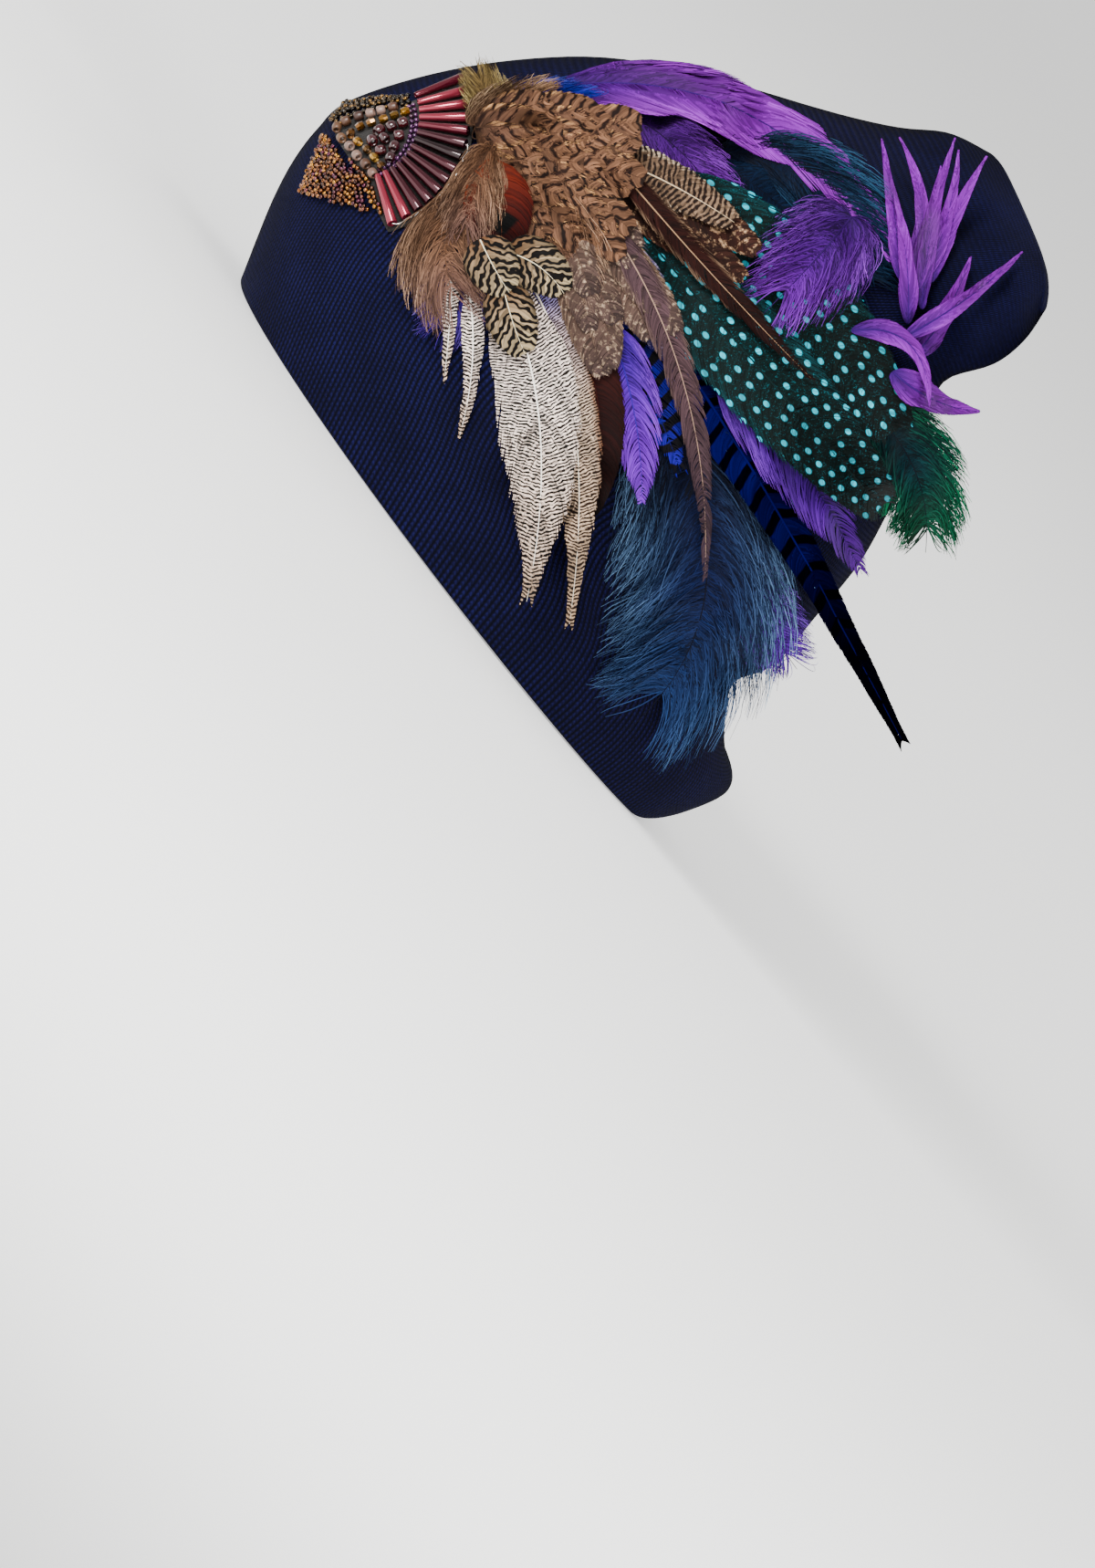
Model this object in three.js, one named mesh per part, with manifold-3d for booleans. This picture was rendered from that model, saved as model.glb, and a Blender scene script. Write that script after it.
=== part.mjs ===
// A knitted flapper cap: a soft navy tube closed by a short ridge at the crown, worn low at the nape,
// with a beaded fan at the brow and a sweep of dyed and natural feathers over the wearer's left side.
// Millimetres. +Z is up out of the crown, -Y is the wearer's front and +X the wearer's left.
// The origin is the middle of the head opening, in the plane that the rim rests on.
import * as THREE from "three";
import { mergeVertices } from "three/addons/utils/BufferGeometryUtils.js";
import Module from "manifold-3d";

const wasm = await Module();
wasm.setup();

// The knitted cap.
const rimLength = 218; // outside of the opening, front to back
const rimWidth = 170; // outside of the opening, side to side
const capHeight = 198; // rim to the highest point of the crown ridge
const knitWall = 3; // doubled knit
const napeRise = 24; // how far the rim arches up over the nape

// The trim board: the trim is laid out flat, facing the trimmed side, and then laid onto the cap.
const boardTurn = 60; // degrees from straight ahead of the wearer, round to the wearer's left
const boardRise = 5; // degrees that the board faces upwards
const boardRoll = 53.9; // degrees that its long axis leans away from the rim
const trimSpan = 270; // length that the feathers' shares are of
const fanAcross = -0.563 * rimLength; // middle of the bead fan, along the rim
const fanAbove = 0.267 * capHeight; // middle of the bead fan, above the rim

// Feathers.
const vaneThickness = 0.8;
const featherGap = 0.4; // between a feather and whatever it lies on
const quillRaise = 0.5; // how far a quill stands up from its vane

// Beads.
const beadClearance = 0.35;
const backingLift = 0.5; // felt to the knit
const backingThickness = 1;
const seedFieldThickness = 1.5;
const bugleDiameter = 1.9;
const bugleLength = 14.4;
const bugleInnerRadius = 17.6;
const bugleCount = 14;
const frostedDiameter = 3;
const goldDiameter = 2.8;
const garnetDiameter = 3.3;
const threadDiameter = 0.9;

const radians = THREE.MathUtils.degToRad;
const smooth = (low, high, x) => THREE.MathUtils.smoothstep(x, low, high);
const mix = THREE.MathUtils.lerp;

// Sections of the cap, from the rim to the ridge. up is a share of capHeight, back of rimLength,
// depth of half of rimLength and width of half of rimWidth. lean and roll are degrees: lean lowers the
// back of a section, roll lowers its left side.
const capSections = [
  { up: 0.0, back: -0.026, depth: 1.0, width: 1.0, lean: 0, roll: 0 },
  { up: 0.06, back: -0.042, depth: 1.045, width: 1.02, lean: 0, roll: 0 },
  { up: 0.12, back: -0.07, depth: 1.06, width: 1.04, lean: 0, roll: 0 },
  { up: 0.175, back: -0.115, depth: 1.02, width: 1.05, lean: 0, roll: 0 },
  { up: 0.23, back: -0.143, depth: 0.995, width: 1.05, lean: 0, roll: 0 },
  { up: 0.29, back: -0.143, depth: 1.005, width: 1.05, lean: 0, roll: 0 },
  { up: 0.4, back: -0.135, depth: 0.935, width: 1.03, lean: 1, roll: 0 },
  { up: 0.51, back: -0.117, depth: 0.845, width: 0.98, lean: 2, roll: 1 },
  { up: 0.61, back: -0.092, depth: 0.715, width: 0.93, lean: 5, roll: 1.5 },
  { up: 0.71, back: -0.048, depth: 0.53, width: 0.87, lean: 9, roll: 2 },
  { up: 0.79, back: -0.01, depth: 0.36, width: 0.81, lean: 13, roll: 2.5 },
  { up: 0.875, back: 0.037, depth: 0.215, width: 0.765, lean: 18, roll: 3 },
  { up: 0.94, back: 0.06, depth: 0.135, width: 0.7, lean: 22, roll: 3 },
  { up: 0.985, back: 0.08, depth: 0.06, width: 0.58, lean: 24, roll: 3 },
];
const capRows = 17; // rings of facets up the cap
const ringPoints = 32;

// Soft dents and swells in the knit: where up the cap (share of the sections), the angle round it in
// degrees from the left side towards the back, their reach, and how deep they are as a share.
const capFolds = [
  { up: 0.72, angle: 262, reachUp: 0.07, reachRound: 40, depth: 0.03 },
  { up: 0.83, angle: 250, reachUp: 0.06, reachRound: 45, depth: 0.05 },
  { up: 0.3, angle: 88, reachUp: 0.06, reachRound: 38, depth: 0.03 },
  { up: 0.775, angle: 48, reachUp: 0.055, reachRound: 42, depth: 0.13 },
];

// A value of the sections table at a share s of the way from the rim to the ridge.
function sectionValue(key, s) {
  const place = s * (capSections.length - 1);
  const k = Math.min(Math.floor(place), capSections.length - 2);
  const row = (i) => capSections[THREE.MathUtils.clamp(i, 0, capSections.length - 1)][key];
  const t = place - k;
  const [a, b, c, d] = [row(k - 1), row(k), row(k + 1), row(k + 2)];
  return 0.5 * (2 * b + (c - a) * t + (2 * a - 5 * b + 4 * c - d) * t * t + (3 * b - a - 3 * c + d) * t * t * t);
}

function foldAt(s, angle) {
  let depth = 0;
  for (const fold of capFolds) {
    const round = Math.abs(((THREE.MathUtils.radToDeg(angle) - fold.angle + 540) % 360) - 180) / fold.reachRound;
    const along = (s - fold.up) / fold.reachUp;
    depth += fold.depth * Math.exp(-round * round - along * along);
  }
  return depth;
}

// A point of the knit. s runs from the rim to the ridge, angle from the left side towards the back.
function capPoint(s, angle, inset = 0) {
  const lean = radians(sectionValue("lean", s));
  const roll = radians(sectionValue("roll", s));
  const halfWidth = (sectionValue("width", s) * rimWidth) / 2;
  const halfDepth = (sectionValue("depth", s) * rimLength) / 2;
  const dent = 1 - foldAt(s, angle);
  const across = (halfWidth - inset) * Math.cos(angle) * dent;
  const along = (halfDepth - inset) * Math.sin(angle) * dent;
  const nape = smooth(0.64, 1.05, Math.sin(angle)) * Math.max(0, 1 - s / 0.2) ** 1.2;
  return new THREE.Vector3(
    across * Math.cos(roll),
    sectionValue("back", s) * rimLength + along * Math.cos(lean),
    sectionValue("up", s) * capHeight - across * Math.sin(roll) - along * Math.sin(lean) + napeRise * nape,
  );
}

// A closed geometry from points and triangles, turned to face outwards.
function geometryOf(points, faces) {
  const volume = faces.reduce((sum, [a, b, c]) => sum + points[a].dot(points[b].clone().cross(points[c])), 0);
  const outward = volume > 0 ? faces : faces.map(([a, b, c]) => [a, c, b]);
  const geometry = new THREE.BufferGeometry();
  geometry.setAttribute("position", new THREE.Float32BufferAttribute(points.flatMap((p) => [p.x, p.y, p.z]), 3));
  geometry.setIndex(outward.flat());
  geometry.computeVertexNormals();
  return geometry;
}

const ringAngle = (i) => (2 * Math.PI * i) / ringPoints;

// The cap is one shell: an outer and an inner skin, each closed at the ridge, joined round the rim.
function capGeometry() {
  const points = [];
  const faces = [];
  const innerRows = capRows - 1;
  for (let j = 0; j <= capRows; j++)
    for (let i = 0; i < ringPoints; i++) points.push(capPoint(j / capRows, ringAngle(i)));
  const innerStart = points.length;
  for (let j = 0; j <= innerRows; j++)
    for (let i = 0; i < ringPoints; i++) points.push(capPoint(j / capRows, ringAngle(i), knitWall));
  const quad = (a, b, c, d) => faces.push([a, b, c], [a, c, d]);
  for (let i = 0; i < ringPoints; i++) {
    const next = (i + 1) % ringPoints;
    for (let j = 0; j < capRows; j++) {
      const [low, high] = [j * ringPoints, (j + 1) * ringPoints];
      quad(low + i, low + next, high + next, high + i);
    }
    for (let j = 0; j < innerRows; j++) {
      const [low, high] = [innerStart + j * ringPoints, innerStart + (j + 1) * ringPoints];
      quad(low + next, low + i, high + i, high + next);
    }
    quad(next, i, innerStart + i, innerStart + next);
  }
  const closeEnd = (start, flip) => {
    const centre = new THREE.Vector3();
    for (let i = 0; i < ringPoints; i++) centre.addScaledVector(points[start + i], 1 / ringPoints);
    const middle = points.push(centre) - 1;
    for (let i = 0; i < ringPoints; i++) {
      const next = (i + 1) % ringPoints;
      faces.push(flip ? [middle, start + next, start + i] : [middle, start + i, start + next]);
    }
  };
  closeEnd(capRows * ringPoints, false);
  closeEnd(innerStart + innerRows * ringPoints, true);
  return geometryOf(points, faces);
}

// The board's axes in the cap's frame.
const turn = radians(boardTurn);
const rise = radians(boardRise);
const roll = radians(boardRoll);
const alongRim = new THREE.Vector3(Math.cos(turn), Math.sin(turn), 0);
const boardOut = new THREE.Vector3(
  Math.sin(turn) * Math.cos(rise),
  -Math.cos(turn) * Math.cos(rise),
  Math.sin(rise),
);
const aboveRim = new THREE.Vector3().crossVectors(boardOut, alongRim);

// A board point, in millimetres right and up of the bead fan's middle, as lengths along and above the rim.
function toRim(x, y) {
  return [
    fanAcross + x * Math.cos(roll) - y * Math.sin(roll),
    fanAbove + x * Math.sin(roll) + y * Math.cos(roll),
  ];
}

// The lie of the trim: how far out from the board's plane it rests. The cap is sampled on a grid, and the
// cells between and beyond are drawn taut, as a cloth thrown over the cap would be.
const lieCell = 2;
const lieMargin = 60; // how far past the cap the taut cloth is pinned
const liePinned = -55; // how deep it is pinned there
const lieRounds = 1800;

function layOverCap() {
  const spots = [];
  for (let j = 0; j <= capRows; j++)
    for (let i = 0; i < ringPoints; i++) {
      const p = capPoint(j / capRows, ringAngle(i));
      spots.push([p.dot(alongRim), p.dot(aboveRim), p.dot(boardOut)]);
    }
  const low = [0, 1].map((k) => Math.min(...spots.map((p) => p[k])) - lieMargin);
  const high = [0, 1].map((k) => Math.max(...spots.map((p) => p[k])) + lieMargin);
  const count = [0, 1].map((k) => Math.ceil((high[k] - low[k]) / lieCell) + 1);
  const cap = new Float64Array(count[0] * count[1]).fill(liePinned);
  const stamp = (a, b, c) => {
    const area = (b[0] - a[0]) * (c[1] - a[1]) - (b[1] - a[1]) * (c[0] - a[0]);
    if (Math.abs(area) < 1e-9) return;
    const first = [0, 1].map((k) => Math.ceil((Math.min(a[k], b[k], c[k]) - low[k]) / lieCell));
    const last = [0, 1].map((k) => Math.floor((Math.max(a[k], b[k], c[k]) - low[k]) / lieCell));
    for (let gx = first[0]; gx <= last[0]; gx++)
      for (let gy = first[1]; gy <= last[1]; gy++) {
        const [x, y] = [low[0] + gx * lieCell, low[1] + gy * lieCell];
        const u = ((x - a[0]) * (c[1] - a[1]) - (y - a[1]) * (c[0] - a[0])) / area;
        const v = ((b[0] - a[0]) * (y - a[1]) - (b[1] - a[1]) * (x - a[0])) / area;
        if (u < 0 || v < 0 || u + v > 1) continue;
        const out = a[2] + u * (b[2] - a[2]) + v * (c[2] - a[2]);
        const cell = gy * count[0] + gx;
        cap[cell] = Math.max(cap[cell], out);
      }
  };
  for (let j = 0; j < capRows; j++)
    for (let i = 0; i < ringPoints; i++) {
      const next = (i + 1) % ringPoints;
      const corner = (row, column) => spots[row * ringPoints + column];
      stamp(corner(j, i), corner(j, next), corner(j + 1, next));
      stamp(corner(j, i), corner(j + 1, next), corner(j + 1, i));
    }
  const height = Float64Array.from(cap);
  for (let round = 0; round < lieRounds; round++)
    for (let gy = 1; gy < count[1] - 1; gy++)
      for (let gx = 1; gx < count[0] - 1; gx++) {
        const cell = gy * count[0] + gx;
        const taut = (height[cell - 1] + height[cell + 1] + height[cell - count[0]] + height[cell + count[0]]) / 4;
        height[cell] = Math.max(cap[cell], taut);
      }
  return { low, count, height };
}

const lie = layOverCap();
const [lieColumns, lieRows] = lie.count;

function onGrid(values, across, above) {
  const gx = THREE.MathUtils.clamp((across - lie.low[0]) / lieCell, 0, lieColumns - 1.001);
  const gy = THREE.MathUtils.clamp((above - lie.low[1]) / lieCell, 0, lieRows - 1.001);
  const [x, y] = [Math.floor(gx), Math.floor(gy)];
  const at = (column, row) => values[row * lieColumns + column];
  return mix(mix(at(x, y), at(x + 1, y), gx - x), mix(at(x, y + 1), at(x + 1, y + 1), gx - x), gy - y);
}

// Where the lie slopes away from the board, a lift square to it is longer when measured out from the board.
const steepest = 2.6;
const steepness = new Float64Array(lieColumns * lieRows).fill(1);
for (let gy = 2; gy < lieRows - 2; gy++)
  for (let gx = 2; gx < lieColumns - 2; gx++) {
    const cell = gy * lieColumns + gx;
    const slopeX = (lie.height[cell + 2] - lie.height[cell - 2]) / (4 * lieCell);
    const slopeY = (lie.height[cell + 2 * lieColumns] - lie.height[cell - 2 * lieColumns]) / (4 * lieCell);
    steepness[cell] = Math.min(Math.hypot(1, slopeX, slopeY), steepest);
  }

// A point of the trim: board millimetres right and up of the fan's middle, and the lift off the knit.
function trimPoint(x, y, lift) {
  const [across, above] = toRim(x, y);
  return new THREE.Vector3()
    .addScaledVector(alongRim, across)
    .addScaledVector(aboveRim, above)
    .addScaledVector(boardOut, onGrid(lie.height, across, above) + lift * onGrid(steepness, across, above));
}

// A plate that lies on the cap: rows of board points, each with the same number of columns.
function plateGeometry(rows, lift, thickness, place = trimPoint, crest = () => 0) {
  const columns = rows[0].length;
  const points = [];
  const faces = [];
  for (const top of [0, 1])
    rows.forEach((row, j) =>
      row.forEach(([x, y], i) => points.push(place(x, y, lift(j, i) + top * (thickness + crest(j, i))))),
    );
  const half = rows.length * columns;
  const quad = (a, b, c, d) => faces.push([a, b, c], [a, c, d]);
  for (let j = 0; j < rows.length - 1; j++)
    for (let i = 0; i < columns - 1; i++) {
      const a = j * columns + i;
      quad(half + a, half + a + 1, half + a + columns + 1, half + a + columns);
      quad(a, a + columns, a + columns + 1, a + 1);
    }
  const edge = [];
  for (let i = 0; i < columns; i++) edge.push(i);
  for (let j = 1; j < rows.length; j++) edge.push(j * columns + columns - 1);
  for (let i = columns - 2; i >= 0; i--) edge.push((rows.length - 1) * columns + i);
  for (let j = rows.length - 2; j > 0; j--) edge.push(j * columns);
  edge.forEach((a, k) => {
    const b = edge[(k + 1) % edge.length];
    quad(a, b, half + b, half + a);
  });
  return geometryOf(points, faces);
}

// Feathers. from, via and to are the quill's ends and middle, and wide is the vane's full width, all as
// shares of trimSpan right and up of the fan's middle. They are listed from the knit outwards.
const feathers = [
  { name: "ostrich_tail_purple", form: "plume", from: [0.36, -0.42], via: [0.425, -0.52], to: [0.478, -0.596], wide: 0.095 },
  { name: "ostrich_plume_navy", form: "plume", from: [0.335, -0.33], via: [0.374, -0.515], to: [0.285, -0.665], wide: 0.21 },
  { name: "ostrich_plume_green", form: "plume", from: [0.54, -0.3], via: [0.604, -0.375], to: [0.617, -0.47], wide: 0.108 },
  { name: "ostrich_navy_upper", form: "plume", from: [0.25, 0.02], via: [0.42, -0.06], to: [0.57, -0.2], wide: 0.14 },
  { name: "pheasant_tail_blue", form: "tail", from: [0.335, -0.24], via: [0.452, -0.42], to: [0.598, -0.682], wide: 0.08 },
  { name: "hackle_purple_right", form: "hackle", from: [0.39, -0.26], via: [0.478, -0.37], to: [0.55, -0.495], wide: 0.085 },
  { name: "marabou_purple_top", form: "plume", from: [0.225, 0.03], via: [0.325, -0.01], to: [0.405, -0.105], wide: 0.085 },
  { name: "guinea_teal_wide", form: "contour", from: [0.32, -0.07], via: [0.47, -0.19], to: [0.588, -0.345], wide: 0.125 },
  { name: "hackle_violet_barred", form: "hackle", from: [0.23, -0.17], via: [0.295, -0.26], to: [0.35, -0.385], wide: 0.085 },
  { name: "goose_purple_crest", form: "biot", from: [0.215, 0.042], via: [0.43, 0.008], to: [0.585, -0.15], wide: 0.062 },
  { name: "guinea_teal_long", form: "contour", from: [0.29, -0.1], via: [0.445, -0.28], to: [0.575, -0.424], wide: 0.11 },
  { name: "hackle_purple_left", form: "hackle", from: [0.27, -0.22], via: [0.298, -0.32], to: [0.305, -0.42], wide: 0.062 },
  { name: "marabou_purple_sweep", form: "plume", from: [0.535, -0.1], via: [0.493, -0.15], to: [0.435, -0.21], wide: 0.12 },
  { name: "goose_purple_leaf", form: "biot", from: [0.58, -0.27], via: [0.625, -0.3], to: [0.68, -0.312], wide: 0.045 },
  { name: "pheasant_mahogany", form: "contour", from: [0.215, -0.18], via: [0.258, -0.31], to: [0.243, -0.43], wide: 0.06 },
  { name: "goose_purple_spikes", form: "biot", from: [0.6, -0.225], via: [0.606, -0.115], to: [0.617, -0.01], wide: 0.07 },
  { name: "mallard_second", form: "contour", from: [0.188, -0.18], via: [0.234, -0.34], to: [0.225, -0.554], wide: 0.055 },
  { name: "marabou_purple_edge", form: "tuft", from: [0.12, -0.16], via: [0.1, -0.2], to: [0.075, -0.24], wide: 0.08 },
  { name: "pheasant_brown_dark", form: "contour", from: [0.26, -0.05], via: [0.35, -0.1], to: [0.44, -0.165], wide: 0.06 },
  { name: "goose_purple_spray", form: "biot", from: [0.6, -0.255], via: [0.638, -0.205], to: [0.667, -0.14], wide: 0.035 },
  { name: "mallard_large", form: "contour", from: [0.156, -0.18], via: [0.195, -0.34], to: [0.178, -0.528], wide: 0.09 },
  { name: "mallard_small", form: "contour", from: [0.098, -0.17], via: [0.096, -0.22], to: [0.09, -0.284], wide: 0.022 },
  { name: "pheasant_speckled_buff", form: "contour", from: [0.245, -0.03], via: [0.325, -0.06], to: [0.41, -0.11], wide: 0.055 },
  { name: "grey_violet_hackle", form: "hackle", from: [0.215, -0.08], via: [0.29, -0.17], to: [0.345, -0.27], wide: 0.075 },
  { name: "tuft_blue", form: "tuft", from: [0.16, 0.015], via: [0.205, 0.028], to: [0.262, 0.024], wide: 0.05 },
  { name: "tuft_olive", form: "tuft", from: [0.142, 0.01], via: [0.134, 0.04], to: [0.118, 0.072], wide: 0.055 },
  { name: "goose_purple_curl_up", form: "biot", from: [0.59, -0.233], via: [0.66, -0.19], to: [0.724, -0.136], wide: 0.028 },
  { name: "mallard_narrow", form: "contour", from: [0.117, -0.18], via: [0.121, -0.26], to: [0.106, -0.344], wide: 0.03 },
  { name: "hackle_mahogany", form: "hackle", from: [0.265, -0.03], via: [0.378, -0.16], to: [0.495, -0.282], wide: 0.032 },
  { name: "pheasant_speckled_mid", form: "contour", from: [0.2, -0.06], via: [0.255, -0.15], to: [0.29, -0.265], wide: 0.1 },
  { name: "goose_purple_curl_down", form: "biot", from: [0.535, -0.225], via: [0.598, -0.24], to: [0.62, -0.31], wide: 0.032 },
  { name: "hackle_brown_droop", form: "hackle", from: [0.24, -0.07], via: [0.347, -0.27], to: [0.374, -0.5], wide: 0.036 },
  { name: "tuft_brown_top", form: "tuft", from: [0.125, 0.0], via: [0.17, 0.022], to: [0.222, 0.032], wide: 0.06 },
  { name: "marabou_brown_lower", form: "plume", from: [0.12, -0.08], via: [0.092, -0.14], to: [0.115, -0.22], wide: 0.12 },
  { name: "pheasant_body_barred", form: "contour", from: [0.12, -0.015], via: [0.21, -0.045], to: [0.305, -0.075], wide: 0.125 },
  { name: "heart_rust", form: "heart", from: [0.122, -0.05], via: [0.148, -0.085], to: [0.152, -0.14], wide: 0.078 },
  { name: "partridge_barred", form: "contour", from: [0.125, -0.11], via: [0.172, -0.165], to: [0.207, -0.225], wide: 0.085 },
];

// What each form of feather does along its quill. wide(t) is the share of its full width at t, rows the
// number of barb locks, notch how deep the gaps between them cut in, sweep how far they lean to the tip.
const forms = {
  contour: { rows: 5, notch: 0.1, sweep: 0.35, wide: (t) => 0.25 + 0.75 * Math.sin(Math.PI * t ** 0.8) ** 0.6 },
  hackle: { rows: 5, notch: 0.16, sweep: 0.6, wide: (t) => 0.12 + 0.88 * Math.sin(Math.PI * t ** 0.75) },
  tail: { rows: 6, notch: 0.1, sweep: 0.4, wide: (t) => 0.12 + 0.88 * (1 - t) ** 0.9 * smooth(-0.25, 0.2, t) },
  plume: { rows: 6, notch: 0.38, sweep: 0.35, wide: (t) => 0.2 + 0.8 * Math.sin(Math.PI * (0.12 + 0.78 * t)) ** 0.7 },
  tuft: { rows: 5, notch: 0.4, sweep: 0.5, wide: (t) => 0.35 + 0.65 * Math.sin(Math.PI * (0.2 + 0.7 * t)) },
  biot: { rows: 5, notch: 0.12, sweep: 0.3, wide: (t) => 0.15 + 0.85 * Math.sin(Math.PI * t ** 0.8) ** 0.7 },
  heart: { rows: 5, notch: 0.03, sweep: 0.1, wide: (t) => 0.2 + 0.8 * Math.sin(Math.PI * t ** 1.1) ** 0.6 },
};
const bluntTip = 0.16; // least width at a quill's ends, as a share of the vane's full width

function quillCurve(feather) {
  const [from, via, to] = [feather.from, feather.via, feather.to].map(
    ([x, y]) => new THREE.Vector2(x * trimSpan, y * trimSpan),
  );
  const bend = via.clone().multiplyScalar(2).addScaledVector(from, -0.5).addScaledVector(to, -0.5);
  return new THREE.QuadraticBezierCurve(from, bend, to);
}

// How far out from the board the trim laid so far reaches, on the lie's grid, with the gap kept above it.
const pile = Float64Array.from(lie.height, (out, cell) => out + featherGap * steepness[cell]);
const cellPoint = (column, row) => [lie.low[0] + column * lieCell, lie.low[1] + row * lieCell];

// The beadwork is sewn on first, so the feathers near it lie over it.
const beadworkTop = backingLift + backingThickness + bugleDiameter + 1.2;
for (let row = 0; row < lieRows; row++)
  for (let column = 0; column < lieColumns; column++) {
    const [across, above] = cellPoint(column, row);
    if (Math.hypot(across - fanAcross, above - fanAbove) > bugleInnerRadius + bugleLength + 4) continue;
    pile[row * lieColumns + column] += beadworkTop * steepness[row * lieColumns + column];
  }

// Calls visit with each grid cell under or beside a triangle of spots, and the cell's shares of its corners.
function overTriangle(corners, visit) {
  const [a, b, c] = corners;
  const area = (b[0] - a[0]) * (c[1] - a[1]) - (b[1] - a[1]) * (c[0] - a[0]);
  if (Math.abs(area) < 1e-6) return;
  const sides = [[b, c], [c, a], [a, b]].map(([p, q]) => Math.hypot(p[0] - q[0], p[1] - q[1]));
  const slack = sides.map((side) => (-lieCell * side) / Math.abs(area));
  const first = [0, 1].map((k) => Math.floor((Math.min(a[k], b[k], c[k]) - lie.low[k]) / lieCell));
  const last = [0, 1].map((k) => Math.ceil((Math.max(a[k], b[k], c[k]) - lie.low[k]) / lieCell));
  for (let column = Math.max(first[0], 0); column <= Math.min(last[0], lieColumns - 1); column++)
    for (let row = Math.max(first[1], 0); row <= Math.min(last[1], lieRows - 1); row++) {
      const [x, y] = cellPoint(column, row);
      const v = ((x - a[0]) * (c[1] - a[1]) - (y - a[1]) * (c[0] - a[0])) / area;
      const w = ((b[0] - a[0]) * (y - a[1]) - (b[1] - a[1]) * (x - a[0])) / area;
      const shares = [1 - v - w, v, w];
      if (shares.some((share, k) => share < slack[k])) continue;
      // a cell just beside the triangle is taken as on its edge
      const kept = shares.map((share) => Math.max(share, 0));
      const total = kept[0] + kept[1] + kept[2];
      visit(row * lieColumns + column, kept.map((share) => share / total));
    }
}

const laid = Float64Array.from(pile);

// The lifts at which a new feather just clears what lies under it. The feather is then part of the pile.
const settlingRounds = 60;

function liftsOver(rows) {
  const spots = rows.flat().map(([x, y]) => toRim(x, y));
  const columns = rows[0].length;
  const facets = [];
  for (let j = 0; j < rows.length - 1; j++)
    for (let i = 0; i < columns - 1; i++) {
      const corner = j * columns + i;
      facets.push([corner, corner + 1, corner + columns + 1], [corner, corner + columns + 1, corner + columns]);
    }
  const steep = spots.map((spot) => onGrid(steepness, ...spot));
  const out = spots.map((spot, k) => onGrid(lie.height, ...spot) + featherGap * steep[k]);
  for (let round = 0; round <= settlingRounds; round++)
    for (const facet of facets)
      overTriangle(facet.map((k) => spots[k]), (cell, shares) => {
        const short = pile[cell] - facet.reduce((sum, k, n) => sum + out[k] * shares[n], 0);
        if (short <= 0) return;
        const weight = shares.reduce((sum, share) => sum + share * share, 0);
        // no corner is raised past the cell it has to clear, so the pile doesn't grow into a spike
        facet.forEach((k, n) => {
          const wanted = round < settlingRounds ? out[k] + (short * shares[n]) / weight : pile[cell];
          out[k] = Math.max(out[k], Math.min(wanted, pile[cell]));
        });
      });
  for (const facet of facets)
    overTriangle(facet.map((k) => spots[k]), (cell, shares) => {
      const base = facet.reduce((sum, k, n) => sum + out[k] * shares[n], 0);
      laid[cell] = Math.max(laid[cell], base + (vaneThickness + featherGap) * steepness[cell]);
    });
  pile.set(laid);
  return rows.map((row, j) => row.map((_, i) => {
    const k = j * columns + i;
    return (out[k] - onGrid(lie.height, ...spots[k])) / steep[k];
  }));
}

// A vane with its quill: columns run from the left edge over the quill to the right edge.
function featherGeometry(feather) {
  const form = forms[feather.form];
  const curve = quillCurve(feather);
  const fullHalf = (feather.wide * trimSpan) / 2;
  const shares = feather.wide > 0.09 ? [1, 0.5, 0, -0.5, -1] : [1, 0, -1];
  const pitch = curve.getLength() / (2 * form.rows);
  const rows = [];
  for (let j = 0; j <= 2 * form.rows; j++) {
    const t = j / (2 * form.rows);
    const middle = curve.getPoint(t);
    const ahead = curve.getTangent(t);
    const side = new THREE.Vector2(-ahead.y, ahead.x);
    const isGap = j % 2 === 1 ? 1 : 0;
    const half = fullHalf * Math.max(form.wide(t) * (1 - form.notch * isGap), bluntTip);
    const lead = Math.min(form.sweep * half, (j === 0 ? 0 : 1) * pitch * 1.6) * (1 - isGap * form.notch);
    const spot = (share) =>
      middle.clone().addScaledVector(side, share * half).addScaledVector(ahead, Math.abs(share) * lead);
    rows.push(shares.map((share) => spot(share).toArray()));
  }
  const quill = (shares.length - 1) / 2;
  const lifts = liftsOver(rows);
  const crest = (j, i) => (i === quill ? quillRaise / 2 : 0);
  return plateGeometry(rows, (j, i) => lifts[j][i], vaneThickness - quillRaise / 2, trimPoint, crest);
}

// The beaded fan. Board places are shares of trimSpan right and up of the fan's middle.
const board = (x, y) => [x * trimSpan, y * trimSpan];
const polar = (radius, degrees) => [radius * Math.cos(radians(degrees)), radius * Math.sin(radians(degrees))];
const fanStart = 21; // degrees, the topmost bugle
const fanEnd = -71; // degrees, the lowest bugle
const onBacking = backingLift + backingThickness + beadClearance;

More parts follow.
